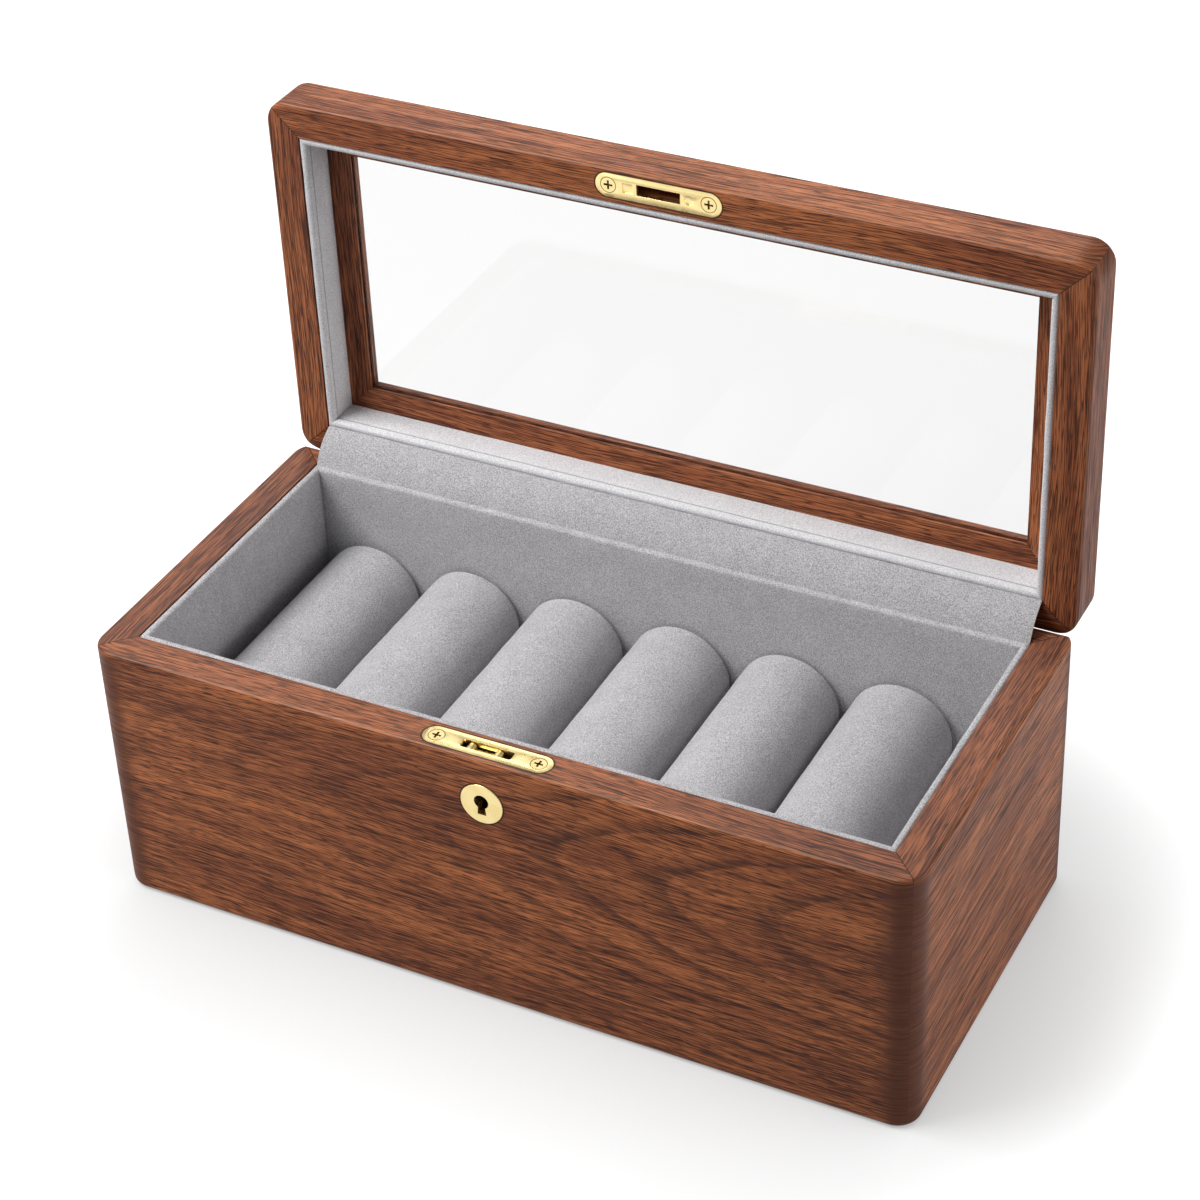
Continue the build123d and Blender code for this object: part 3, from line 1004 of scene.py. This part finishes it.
@dataclass(frozen=True)
class Easing:
    """How the sharp edges of a frame piece's copy are rounded."""

    width: float
    segments: int
    weld: float = 0.002 * MM
    flat: float = 0.6
    sharp: float = 38.0
    smooth: float = 40.0

    def copy(self, node: str, material: bpy.types.Material, name: str) -> bpy.types.Object:
        """Copies a frame piece's shape, with its sharp edges rounded.

        Args:
            node: The frame piece.
            material: The copy's material.
            name: The copy's name.

        Returns:
            The copy.
        """
        copy = bpy.data.objects.new(name, bpy.data.objects[node].data.copy())
        bpy.context.scene.collection.objects.link(copy)
        with editing(copy, "FACE"):
            bpy.ops.mesh.select_all(action="SELECT")
            bpy.ops.mesh.customdata_custom_splitnormals_clear()
            bpy.ops.mesh.remove_doubles(threshold=self.weld)
            bpy.ops.mesh.dissolve_limited(angle_limit=math.radians(self.flat))
            bpy.ops.mesh.normals_make_consistent(inside=False)
        bevel = copy.modifiers.new("ease", "BEVEL")
        bevel.width = self.width
        bevel.segments = self.segments
        bevel.limit_method = "ANGLE"
        bevel.angle_limit = math.radians(self.sharp)
        bevel.use_clamp_overlap = True
        apply_all(copy)
        pick(copy)
        bpy.ops.object.shade_smooth_by_angle(angle=math.radians(self.smooth))
        return finished(copy, name, material)


@dataclass
class CoveredBoard:
    """A thin board wrapped in velvet, with a rolled edge along its open side and mitred ends."""

    length: float
    thickness: float
    height: float
    roll: float = 1.35 * MM
    segments: int = 5
    pitch: float = 5.0 * MM
    over: float = 2.0 * MM

    def make(self) -> bpy.types.Object:
        """Models the board about the origin: its open edge up, its outer face towards +Y.

        Returns:
            The board.
        """
        bpy.ops.object.select_all(action="DESELECT")
        spans = (self.length + 2 * self.over, self.thickness, self.height)
        bpy.ops.mesh.primitive_cube_add(size=1.0, scale=spans)
        board = bpy.context.object
        bpy.ops.object.transform_apply(scale=True)
        top = self.height / 2 - HAIR
        with editing(board, "EDGE"):
            choose_edges(board, lambda middle: middle.z > top, Vector((1, 0, 0)))
            bpy.ops.mesh.bevel(offset=self.roll, segments=self.segments, profile=0.5, affect="EDGES")
            slice_at(steps(-self.length / 2, self.length / 2, self.pitch), Vector((1, 0, 0)))
            slice_at(steps(-self.height / 2, self.height / 2 - self.roll, self.pitch), Vector((0, 0, 1)))
            for end in (-1, 1):
                bpy.ops.mesh.select_all(action="SELECT")
                bpy.ops.mesh.bisect(plane_co=(end * self.length / 2, self.thickness / 2, 0),
                                    plane_no=(end, -1, 0), use_fill=True, clear_outer=True)
        return board


@dataclass(frozen=True)
class Velvetry:
    """The velvet boards of the case and the lid, and the floor board and notched rails."""

    velvet: bpy.types.Material
    lid_velvet: bpy.types.Material
    swell: float = 0.12 * MM
    wave: float = 9.0 * MM
    smooth: float = 50.0
    seeds: float = 3.1
    lid_seed: float = 20.0
    segments: int = 4
    rail_ease: float = 0.9 * MM
    floor_ease: float = 0.6 * MM

    def board(self, node: str, side: Side, lid: bool, seed: float) -> bpy.types.Object:
        """Models the covered board that stands for a lining node.

        Args:
            node: The lining node.
            side: Which side of the box it lines.
            lid: Whether it is in the lid, which stands open.
            seed: What tells its ripples from its neighbours'.

        Returns:
            The board, in place.
        """
        low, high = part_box(node)
        size = high - low
        turn = math.radians(side.value)
        sideways = side in (Side.LEFT, Side.RIGHT)
        if lid:
            spans = (size.z, size.x, size.y) if sideways else (size.x, size.z, size.y)
            opened = Matrix(((-1, 0, 0), (0, 0, -1), (0, -1, 0))).to_4x4()
            place = opened @ Matrix.Rotation(-turn if sideways else turn, 4, "Z")
        else:
            spans = (size.y, size.x, size.z) if sideways else (size.x, size.y, size.z)
            place = Matrix.Rotation(turn, 4, "Z")
        board = CoveredBoard(*spans).make()
        settle(board, Matrix.Translation((low + high) / 2) @ place, self.smooth)
        ripple(board, self.swell, self.wave, seed)
        finished(board, "velvet_" + node, self.lid_velvet if lid else self.velvet)
        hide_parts(node)
        return board

    def eased(self, node: str, ease: float, body: str) -> bpy.types.Object:
        """Models a velvet piece from a frame piece's outline, with its edges rolled over.

        Args:
            node: The frame piece.
            ease: How far its edges are rolled.
            body: The body that it moves with.

        Returns:
            The piece.
        """
        piece = Easing(ease, self.segments).copy(node, self.velvet, "velvet_" + node)
        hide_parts(node)
        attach(piece, body)
        return piece

    def make(self) -> list[bpy.types.Object]:
        """Models the linings of case and lid, the rails and the floor board.

        Returns:
            The pieces.
        """
        pieces = []
        for number, side in enumerate(Side):
            piece = self.board("lining_" + side.name.lower(), side, False, number * self.seeds)
            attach(piece, "case")
            pieces.append(piece)
            lid_seed = self.lid_seed + number * self.seeds
            piece = self.board("lid_lining_" + side.name.lower(), side, True, lid_seed)
            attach(piece, "lid")
            pieces.append(piece)
        pieces.append(self.eased("front_cradle", self.rail_ease, "case"))
        pieces.append(self.eased("rear_cradle", self.rail_ease, "case"))
        pieces.append(self.eased("floor_lining", self.floor_ease, "case"))
        return pieces


@dataclass(frozen=True)
class RollCover:
    """The velvet cover of one roll: a stuffed sleeve with a disc sewn into each end."""

    radius: float = 20.5 * MM
    half: float = 58.5 * MM
    piping: float = 0.9 * MM
    seam: float = 0.55 * MM
    valley: float = 0.35
    crown: float = 0.5 * MM
    around: int = 96
    bead_steps: int = 5
    disc_steps: int = 7
    pitch: float = 3.0 * MM
    swell: float = 0.30 * MM
    held: float = 0.1 * MM
    pressure: float = 4.0
    quality: int = 6
    frames: int = 20
    smooth: float = 60.0
    turn: float = 37.0
    wrinkle: float = 0.16 * MM
    wave: float = 11.0 * MM
    seed: float = 40.0

    def outline(self) -> list[tuple[float, float]]:
        """Half of the cover's section, from the middle of its length to the end disc's centre.

        Returns:
            Radius and place along the roll of each point.
        """
        shoulder = self.half - self.crown - self.piping
        barrel = self.radius - self.swell
        count = round(shoulder / self.pitch)
        points = [(barrel, shoulder * n / count) for n in range(count)]
        bead = barrel - self.piping
        points += [(bead + self.piping * math.cos(turn), shoulder + self.piping * math.sin(turn))
                   for turn in (math.radians(90 * n / self.bead_steps) for n in range(self.bead_steps + 1))]
        disc = bead - self.seam
        points.append((bead - self.seam * self.valley, shoulder + self.piping - self.seam))
        points += [(disc * math.cos(turn), self.half - self.crown * (1 - math.sin(turn)))
                   for turn in (math.radians(90 * n / self.disc_steps) for n in range(self.disc_steps))]
        return points + [(0.0, self.half)]

    def make(self) -> bpy.types.Object:
        """Turns the cover about its own length, at the origin along Y.

        Returns:
            The cover.
        """
        half = self.outline()
        whole = [(radius, -along) for radius, along in reversed(half[1:])] + half
        mesh = bpy.data.meshes.new("roll_cover")
        mesh.from_pydata([(radius, along, 0.0) for radius, along in whole],
                         [(n, n + 1) for n in range(len(whole) - 1)], [])
        cover = bpy.data.objects.new("roll_cover", mesh)
        bpy.context.scene.collection.objects.link(cover)
        with editing(cover, "VERT"):
            bpy.ops.mesh.select_all(action="SELECT")
            bpy.ops.mesh.spin(steps=self.around, angle=math.tau, center=(0, 0, 0), axis=(0, 1, 0))
            bpy.ops.mesh.select_all(action="SELECT")
            bpy.ops.mesh.remove_doubles(threshold=HAIR)
            bpy.ops.mesh.normals_make_consistent(inside=False)
        self.fill(cover)
        return settle(cover, Matrix.Identity(4), self.smooth)

    def fill(self, cover: bpy.types.Object) -> None:
        """Lets the stuffing press the cloth out between its sewn lines, no further than the swell.

        Args:
            cover: The cover, slack.
        """
        before = [vertex.co.copy() for vertex in cover.data.vertices]
        end = self.half - self.crown - self.piping - self.held
        under = -(self.radius - self.swell) * math.cos(math.pi / self.around)
        held = [n for n, place in enumerate(before) if abs(place.y) > end or place.z < under]
        cover.vertex_groups.new(name="sewn").add(held, 1.0, "REPLACE")
        cloth = cover.modifiers.new("cloth", "CLOTH")
        cloth.settings.quality = self.quality
        cloth.settings.use_pressure = True
        cloth.settings.uniform_pressure_force = self.pressure
        cloth.settings.effector_weights.gravity = 0.0
        cloth.settings.vertex_group_mass = "sewn"
        cloth.point_cache.frame_end = self.frames
        for frame in range(1, self.frames + 1):
            bpy.context.scene.frame_set(frame)
        apply_all(cover)
        bpy.context.scene.frame_set(1)
        for vertex, rest in zip(cover.data.vertices, before):
            moved = vertex.co - rest
            if moved.length > self.swell:
                vertex.co = rest + moved.normalized() * self.swell
        cover.data.update()
        LOG.info("roll cover filled, its cloth moved by up to %.2f mm", self.swell / MM)

    def dress(self, cloth: bpy.types.Material, numbers: Sequence[int]) -> None:
        """Makes every roll's cover from one.

        Args:
            cloth: The velvet.
            numbers: The rolls' numbers.
        """
        first = self.make()
        for number in numbers:
            low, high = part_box(f"roll_sleeve_{number}")
            cover = bpy.data.objects.new(f"roll_cover_{number}", first.data.copy())
            bpy.context.scene.collection.objects.link(cover)
            turn = Matrix.Rotation(math.radians(self.turn * number), 4, "Y")
            settle(cover, Matrix.Translation((low + high) / 2) @ turn, self.smooth)
            ripple(cover, self.wrinkle, self.wave, self.seed + number)
            finished(cover, f"roll_cover_{number}", cloth)
            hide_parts(f"roll_sleeve_{number}", f"roll_ends_{number}")
            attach(cover, f"roll_{number}")
        bpy.data.objects.remove(first)


@dataclass(frozen=True)
class HingeStrip:
    """The cloth strip that covers the hinge side, from the base's rear lining to the lid's."""

    width: float = 293.0 * MM
    low: tuple[float, float] = (62.35 * MM, 110.30 * MM)
    high: tuple[float, float] = (73.70 * MM, 121.75 * MM)
    bow: float = 1.6 * MM
    thick: float = 0.8 * MM
    pitch: float = 2.0 * MM
    rows: int = 12
    wrinkle: float = 0.22 * MM
    wave: float = 16.0 * MM
    seed: float = 71.0
    smooth: float = 50.0

    def section(self, share: float) -> tuple[float, float]:
        """The strip's centreline.

        Args:
            share: How far along it, from 0 at the base to 1 at the lid.

        Returns:
            The place's Y and Z.
        """
        back, up = self.high[0] - self.low[0], self.high[1] - self.low[1]
        reach = math.hypot(back, up)
        out = self.bow * 4 * share * (1 - share)
        return (self.low[0] + back * share - out * up / reach,
                self.low[1] + up * share + out * back / reach)

    def length(self) -> float:
        """The centreline's length.

        Returns:
            It, in metres.
        """
        points = [self.section(n / self.rows) for n in range(self.rows + 1)]
        return sum(math.dist(first, second) for first, second in zip(points, points[1:]))

    def make(self, cloth: bpy.types.Material, edge: bpy.types.Material) -> bpy.types.Object:
        """Models the strip in its place.

        Args:
            cloth: The velvet.
            edge: What shows where it is cut.

        Returns:
            The strip.
        """
        bpy.ops.object.select_all(action="DESELECT")
        columns = round(self.width / self.pitch)
        bpy.ops.mesh.primitive_grid_add(x_subdivisions=columns, y_subdivisions=self.rows, size=1.0)
        strip = finished(bpy.context.object, "hinge_strip", cloth)
        strip.data.materials.append(edge)
        for vertex in strip.data.vertices:
            side, share = vertex.co.x, vertex.co.y + 0.5
            deep, high = self.section(share)
            vertex.co = Vector((side * self.width, deep, high))
        strip.data.update()
        ripple(strip, self.wrinkle, self.wave, self.seed)
        cover = strip.modifiers.new("cloth", "SOLIDIFY")
        cover.thickness = self.thick
        cover.offset = 0.0
        cover.material_offset_rim = 1
        apply_all(strip)
        settle(strip, Matrix.Identity(4), self.smooth)
        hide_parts("hinge_cover_strip")
        self.length()
        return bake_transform(strip)


@dataclass(frozen=True)
class Joinery:
    """The eight walnut boards: their planes in millimetres of the frame, and what is drawn on them.

    A skin says how deep below the board's face a mark is at its faintest, then how deep it is full.
    """

    side: float = 160.0
    front: float = 75.5
    rim: float = RIM
    lid_face: float = LID_FACE
    lid_middle: float = 184.1
    lid_end: float = 259.6
    mitre: float = 84.5
    mitre_share: float = 0.72
    mitre_skin: tuple[float, float] = (3.5, 0.4)
    # The corners: darker end grain with painted shade over the rounding
    corner_share: float = 0.86
    corner_sums: tuple[float, float] = (220.5, 228.5)
    corner_skin: tuple[float, float] = (0.4, 4.0)
    lid_corner_share: float = 0.40
    lid_corner_sums: tuple[float, float] = (222.0, 229.5)
    lid_corner_skin: tuple[float, float] = (0.5, 3.9)
    # Painted shade and grey sheen on the top face of the case's rim
    rim_shade_share: float = 0.28
    rim_shade_skin: tuple[float, float] = (0.8, 0.1)
    ring_share: float = 0.85
    ring_radius: float = 8.4
    plate_share: float = 0.80
    plate: tuple[float, float] = (20.25, 4.85)
    strike: tuple[float, float] = (19.75, 4.85)
    eased: float = 0.35
    # Painted highlights along the eased edges of the front rim and of the lid's rails
    front_highlight: float = 0.34
    lid_highlight: float = 0.38
    side_highlight: float = 0.20
    shadow: Colour = (0.030, 0.012, 0.008, 1.0)
    edge_highlight: Colour = (0.560, 0.330, 0.225, 1.0)
    end_grain_and_shade: Colour = (0.095, 0.028, 0.013, 1.0)
    rim_grey_shade: Colour = (0.100, 0.085, 0.085, 1.0)

    def case_marks(self) -> tuple[Mark, ...]:
        """What every wall of the case has: painted shade and grey sheen on its rim's top face, its joints,
        and its end grain with painted shade on its corners.

        Returns:
            The marks.
        """
        skins = (self.rim_shade_skin, self.mitre_skin, self.corner_skin)
        rim_shade, joint, corner = (tuple(self.rim - deep for deep in skin) for skin in skins)
        return (Beyond(self.rim_shade_share, self.rim_grey_shade, "Z", *rim_shade),
                Mitre(self.mitre_share, self.shadow, "Y", 0.0, self.mitre, ("Z", *joint)),
                ShadedCorner(self.corner_share, self.end_grain_and_shade, "Y", 0.0, self.corner_sums, ("Z", *corner)))

    def lid_marks(self) -> tuple[Mark, ...]:
        """What every rail of the lid has: its joints, and its end grain with painted shade on its corners.

        Returns:
            The marks.
        """
        skins = (self.mitre_skin, self.lid_corner_skin)
        joint, corner = (tuple(self.lid_face + deep for deep in skin) for skin in skins)
        return (Mitre(self.mitre_share, self.shadow, "Z", self.lid_middle, self.mitre, ("Y", *joint)),
                ShadedCorner(self.lid_corner_share, self.end_grain_and_shade, "Z", self.lid_middle,
                       self.lid_corner_sums, ("Y", *corner)))

    def boards(self) -> dict[str, Walnut]:
        """The boards' walnut, each with its own stretch of grain and the marks on it.

        Returns:
            The walnut by node.
        """
        # Darker copies of the walnut's colours: painted shade for boards that the lamps light more brightly
        shaded_deeper = {"light": (0.462, 0.152, 0.058, 1.0), "middle": (0.215, 0.061, 0.025, 1.0)}
        shaded_softer = {"light": (0.532, 0.177, 0.064, 1.0)}
        case, lid = self.case_marks(), self.lid_marks()
        plate, strike, key = spot("lock_face_plate"), spot("strike_plate"), spot("escutcheon")
        lid_edge = ("Y", self.lid_face + self.eased)
        side = self.side - self.eased
        front = case + (
            Outline(self.ring_share, self.shadow, ("X", key.x), ("Z", key.z), ("Y", -self.front),
                    0.0, self.ring_radius),
            Outline(self.plate_share, self.shadow, ("X", plate.x), ("Y", plate.y), ("Z", self.rim),
                    *self.plate),
            ArrisHighlight(self.front_highlight, self.edge_highlight, ("Y", self.eased - self.front), ("Z", self.rim - self.eased)))
        top = lid + (
            Outline(self.plate_share, self.shadow, ("X", strike.x), ("Z", strike.z), ("Y", self.lid_face),
                    *self.strike),
            ArrisHighlight(self.lid_highlight, self.edge_highlight, lid_edge, ("Z", self.lid_end - self.eased)))
        left = lid + (ArrisHighlight(self.side_highlight, self.edge_highlight, lid_edge, ("X", -side)),)
        right = lid + (ArrisHighlight(self.side_highlight, self.edge_highlight, lid_edge, ("X", side)),)
        along, over, rising = Grain.ALONG_X, Grain.ALONG_Y, Grain.ALONG_Z
        face = self.lid_face
        return {
            "base_front_wall": Walnut(along, -self.front, front, stretch=0.78, figure=Figure()),
            "base_back_wall": Walnut(along, self.front, case, (310.0, 140.0, 0.0)),
            "base_left_wall": Walnut(over, -self.side, case, (90.0, 315.0, 20.0), **shaded_deeper),
            "base_right_wall": Walnut(over, self.side, case, (470.0, 407.0, 9.0), **shaded_softer),
            "lid_front_rail": Walnut(along, face, top, (700.0, 500.0, 31.0), **shaded_softer),
            "lid_back_rail": Walnut(along, face, lid, (900.0, 611.0, 7.0), **shaded_deeper),
            "lid_left_rail": Walnut(rising, face, left, (40.0, 730.0, 6.0), **shaded_deeper),
            "lid_right_rail": Walnut(rising, face, right, (530.0, 870.0, 1.0), **shaded_deeper),
        }


@dataclass(frozen=True)
class Plate:
    """A polished brass plate let into the wood, and the cross-headed screw near each of its ends."""

    node: str
    screws: str
    face: tuple[str, float]
    inward: float
    across: str
    body: str
    ease: float = 0.15 * MM
    segments: int = 2
    # Painted shade: in the screws' crosses, round their heads and along the plate's edge
    groove_shade: Colour = (0.16, 0.10, 0.03, 1.0)
    cross_share: float = 0.9
    cross_skin: tuple[float, float] = (0.1, 0.35)
    ring_share: float = 0.95
    ring_gap: float = 0.1
    ring_line: tuple[float, float] = (0.14, 0.12)
    edge_share: float = 0.90
    edge_line: tuple[float, float] = (0.12, 0.10)

    def halves(self, node: str) -> tuple[float, float]:
        """Half the length and half the width of a piece.

        Args:
            node: The piece.

        Returns:
            Both, in millimetres.
        """
        low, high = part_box(node)
        return (high.x - low.x) / MM / 2, getattr(high - low, self.across.lower()) / MM / 2

    def rings(self) -> tuple[Outline, ...]:
        """The painted shade lines in the gaps round the screws' heads and inside the plate's edge.

        Returns:
            The marks.
        """
        middle = spot(self.screws)
        centre = (self.across, getattr(middle, self.across.lower()))
        reach, head = self.halves(self.screws)
        length, half = self.halves(self.node)
        places = [middle.x + end * (reach - head) for end in (-1, 1)]
        heads = tuple(Outline(self.ring_share, self.groove_shade, ("X", place), centre, self.face,
                              0.0, head + self.ring_gap, *self.ring_line) for place in places)
        edge = Outline(self.edge_share, self.groove_shade, ("X", middle.x), centre, self.face,
                       length - half, half, *self.edge_line)
        return (*heads, edge)

    def make(self, screws: bpy.types.Object) -> bpy.types.Object:
        """Dresses the screws and models the plate.

        Args:
            screws: The frame's screws.

        Returns:
            The plate.
        """
        axis, level = self.face
        start, full = (level + self.inward * deep for deep in self.cross_skin)
        # The screws' crosses are painted with shade below the level of their heads
        cross = Beyond(self.cross_share, self.groove_shade, axis, start, full)
        clad(screws, Metal(*GOLD, (cross,)).dress("brass_" + self.screws))
        metal = Metal(*GOLD, self.rings()).dress("brass_" + self.node)
        plate = Easing(self.ease, self.segments).copy(self.node, metal, "polished_" + self.node)
        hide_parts(self.node)
        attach(plate, self.body)
        return plate


@dataclass(frozen=True)
class Lamp:
    """A square soft lamp, turned to the box; its power is in watts."""

    name: str
    place: tuple[float, float, float]
    size: float
    power: float
    aim: tuple[float, float, float] = (0.0, 0.0, 0.1)

    def hang(self) -> bpy.types.Object:
        """Puts the lamp in the scene.

        Returns:
            The lamp.
        """
        light = bpy.data.lights.new(self.name, "AREA")
        light.size = self.size
        light.energy = self.power
        lamp = bpy.data.objects.new(self.name, light)
        bpy.context.scene.collection.objects.link(lamp)
        lamp.location = Vector(self.place)
        lamp.rotation_mode = "QUATERNION"
        lamp.rotation_quaternion = (Vector(self.aim) - Vector(self.place)).to_track_quat("-Z", "Y")
        return lamp


@dataclass(frozen=True)
class Studio:
    """A white sweep, soft lamps and the camera."""

    azimuth: float = 28.30
    elevation: float = 35.36
    roll: float = -2.69
    distance: float = 1.085
    target: tuple[float, float, float] = (0.00906, 0.0, 0.13092)
    lens: float = 92.60
    sensor: float = 36.0
    clip: float = 20.0
    daylight: float = 0.145
    mirrored: float = 0.4
    through_glass: float = 0.3
    floor_side: float = 12.0
    floor_under: float = 0.1 * MM
    floor_colour: Colour = (0.30, 0.30, 0.30, 1.0)
    floor_roughness: float = 0.9
    floor_glow: float = 0.76
    contact: tuple[float, float] = (0.085, 0.66)
    floor_mirrored: float = 0.85
    behind_pane: float = 0.67
    white_from: tuple[float, float] = (180.0, 250.0)
    lamps: tuple[Lamp, ...] = (
        Lamp("key", (-0.80, -0.45, 1.40), 0.9, 26.5),
        Lamp("back", (-0.65, 1.45, 1.15), 1.0, 8.0),
        Lamp("front_fill", (-1.2, -1.3, 0.35), 1.0, 5.0),
        Lamp("right_fill", (1.6, 0.3, 0.38), 1.0, 12.2),
    )

    def set_up(self) -> None:
        """Makes floor, world, lamps and camera."""
        self.floor()
        self.world()
        for lamp in self.lamps:
            lamp.hang()
        self.camera()
        LOG.info("studio: floor, %d lamps and camera", len(self.lamps))

    def floor(self) -> None:
        """A plain pale floor that shows white to the camera and keeps the box's shadow; its glow is painted
        darker close to the box, whiter further out, and greyer behind the pane.
        """
        bpy.ops.object.select_all(action="DESELECT")
        bpy.ops.mesh.primitive_plane_add(size=self.floor_side, location=(0, 0, -self.floor_under))
        floor = bpy.context.object
        floor.name = "floor"
        graph = Graph("floor_white")
        ray = graph.tree.nodes.new("ShaderNodeLightPath")
        seen = graph.math("MULTIPLY", ray.outputs["Is Glossy Ray"], self.floor_mirrored)
        seen = graph.math("MAXIMUM", ray.outputs["Is Camera Ray"], seen)
        behind = graph.math("MULTIPLY", ray.outputs["Is Transmission Ray"], self.through_glass)
        away = graph.tree.nodes.new("ShaderNodeVectorMath")
        away.operation = "LENGTH"
        graph.feed(away.inputs[0], graph.place())
        # The glow rises to full white away from the box, which paints out the far part of the shadow
        white = graph.ramp(away.outputs["Value"], *self.white_from, self.floor_glow, 1.0)
        # The glow is dimmed where it is seen through the pane, a painted grey for the glass
        pane = graph.math("MINIMUM", ray.outputs["Transparent Depth"], 1.0)
        dimmed = graph.math("SUBTRACT", 1.0, graph.math("MULTIPLY", pane, 1.0 - self.behind_pane))
        white = graph.math("MULTIPLY", white, dimmed)
        glow = graph.math("MULTIPLY", graph.math("MAXIMUM", seen, behind), white)
        # Painted contact shadow: the glow falls off where ambient occlusion finds the box close by
        near = graph.tree.nodes.new("ShaderNodeAmbientOcclusion")
        near.inputs["Distance"].default_value, share = self.contact
        contact_shade = graph.math("ADD", graph.math("MULTIPLY", near.outputs["AO"], share), 1.0 - share)
        graph.set(Base_Color=self.floor_colour, Roughness=self.floor_roughness, Specular_IOR_Level=0.0,
                  Emission_Color=WHITE, Emission_Strength=graph.math("MULTIPLY", glow, contact_shade))
        floor.data.materials.append(graph.material)

    def world(self) -> None:
        """Even light from all round, shown as white."""
        world = bpy.data.worlds.new("studio")
        bpy.context.scene.world = world
        world.use_nodes = True
        nodes, links = world.node_tree.nodes, world.node_tree.links
        path = nodes.new("ShaderNodeLightPath")
        back = nodes["Background"]
        shown = path.outputs["Is Camera Ray"]
        for kind, share in (("Is Transmission Ray", self.through_glass), ("Is Glossy Ray", self.mirrored)):
            part = nodes.new("ShaderNodeMath")
            part.operation = "MULTIPLY"
            links.new(path.outputs[kind], part.inputs[0])
            part.inputs[1].default_value = share
            either = nodes.new("ShaderNodeMath")
            either.operation = "MAXIMUM"
            links.new(shown, either.inputs[0])
            links.new(part.outputs[0], either.inputs[1])
            shown = either.outputs[0]
        strength = nodes.new("ShaderNodeMapRange")
        links.new(shown, strength.inputs["Value"])
        strength.inputs["To Min"].default_value = self.daylight
        strength.inputs["To Max"].default_value = 1.0
        links.new(strength.outputs["Result"], back.inputs["Strength"])
        back.inputs["Color"].default_value = WHITE

    def camera(self) -> None:
        """The camera, where the photograph was taken from."""
        side, rise = math.radians(self.azimuth), math.radians(self.elevation)
        right = Vector((math.cos(side), math.sin(side), 0))
        back = Vector((math.sin(side) * math.cos(rise), -math.cos(side) * math.cos(rise), math.sin(rise)))
        up = back.cross(right)
        spin = math.radians(self.roll)
        turned_right = right * math.cos(spin) + up * math.sin(spin)
        turned_up = -right * math.sin(spin) + up * math.cos(spin)
        data = bpy.data.cameras.new("camera")
        data.lens = self.lens
        data.sensor_width = self.sensor
        data.clip_end = self.clip
        camera = bpy.data.objects.new("camera", data)
        bpy.context.scene.collection.objects.link(camera)
        columns = (turned_right, turned_up, back)
        matrix = Matrix([[column[row] for column in columns] for row in range(3)]).to_4x4()
        matrix.translation = Vector(self.target) + back * self.distance
        camera.matrix_world = matrix
        bpy.context.scene.camera = camera
        bpy.context.scene.view_settings.view_transform = "Standard"


def main(frame: dict) -> None:
    """Builds the looks round the frame.
    """
    nodes = frame["nodes"]
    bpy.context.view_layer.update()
    woods = Joinery().boards()
    for node, wood in woods.items():
        clad(nodes[node], wood.dress("walnut_" + node))
    LOG.info("walnut: %d boards", len(woods))
    velvet = VELVET.dress("velvet")
    finishes = {
        Stuff.VELVET: velvet,
        Stuff.BRASS: BRASS.dress("brass"),
        Stuff.AGED_BRASS: AGED_BRASS.dress("aged_brass"),
        Stuff.STEEL: BLUED_STEEL.dress("blued_steel"),
        Stuff.GLASS: Glass().dress("clear_glass"),
        Stuff.PLYWOOD: PLYWOOD.dress("plywood"),
        Stuff.CARD: CARD.dress("card"),
    }
    for node, item in nodes.items():
        if node not in woods:
            clad(item, finishes[Stuff.of(node)])
    LOG.info("glass, brass, steel, card and the rest: %d pieces", len(nodes) - len(woods))
    padded = Velvetry(velvet, LIT_LID_VELVET.dress("velvet_lid_painted_light")).make()
    LOG.info("velvet linings, rails and floor board: %d pieces", len(padded))
    rolls = range(1, sum(name.startswith("roll_core") for name in nodes) + 1)
    RollCover().dress(velvet, rolls)
    LOG.info("velvet rolls: %d", len(rolls))
    strip = HingeStrip().make(SHADED_STRIP_VELVET.dress("velvet_strip"), CUT_EDGE.dress("cut_edge"))
    LOG.info("cloth strip over the hinges: %s", strip.name)
    for plate in (Plate("lock_face_plate", "lock_plate_screws", ("Z", RIM), -1.0, "Y", "case"),
                  Plate("strike_plate", "strike_screws", ("Y", LID_FACE), 1.0, "Z", "lid")):
        LOG.info("brass plate and screws: %s", plate.make(nodes[plate.screws]).name)
    Studio().set_up()


if __name__ == "__main__":
    logging.basicConfig(level=logging.INFO, format="%(message)s")
    main(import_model())
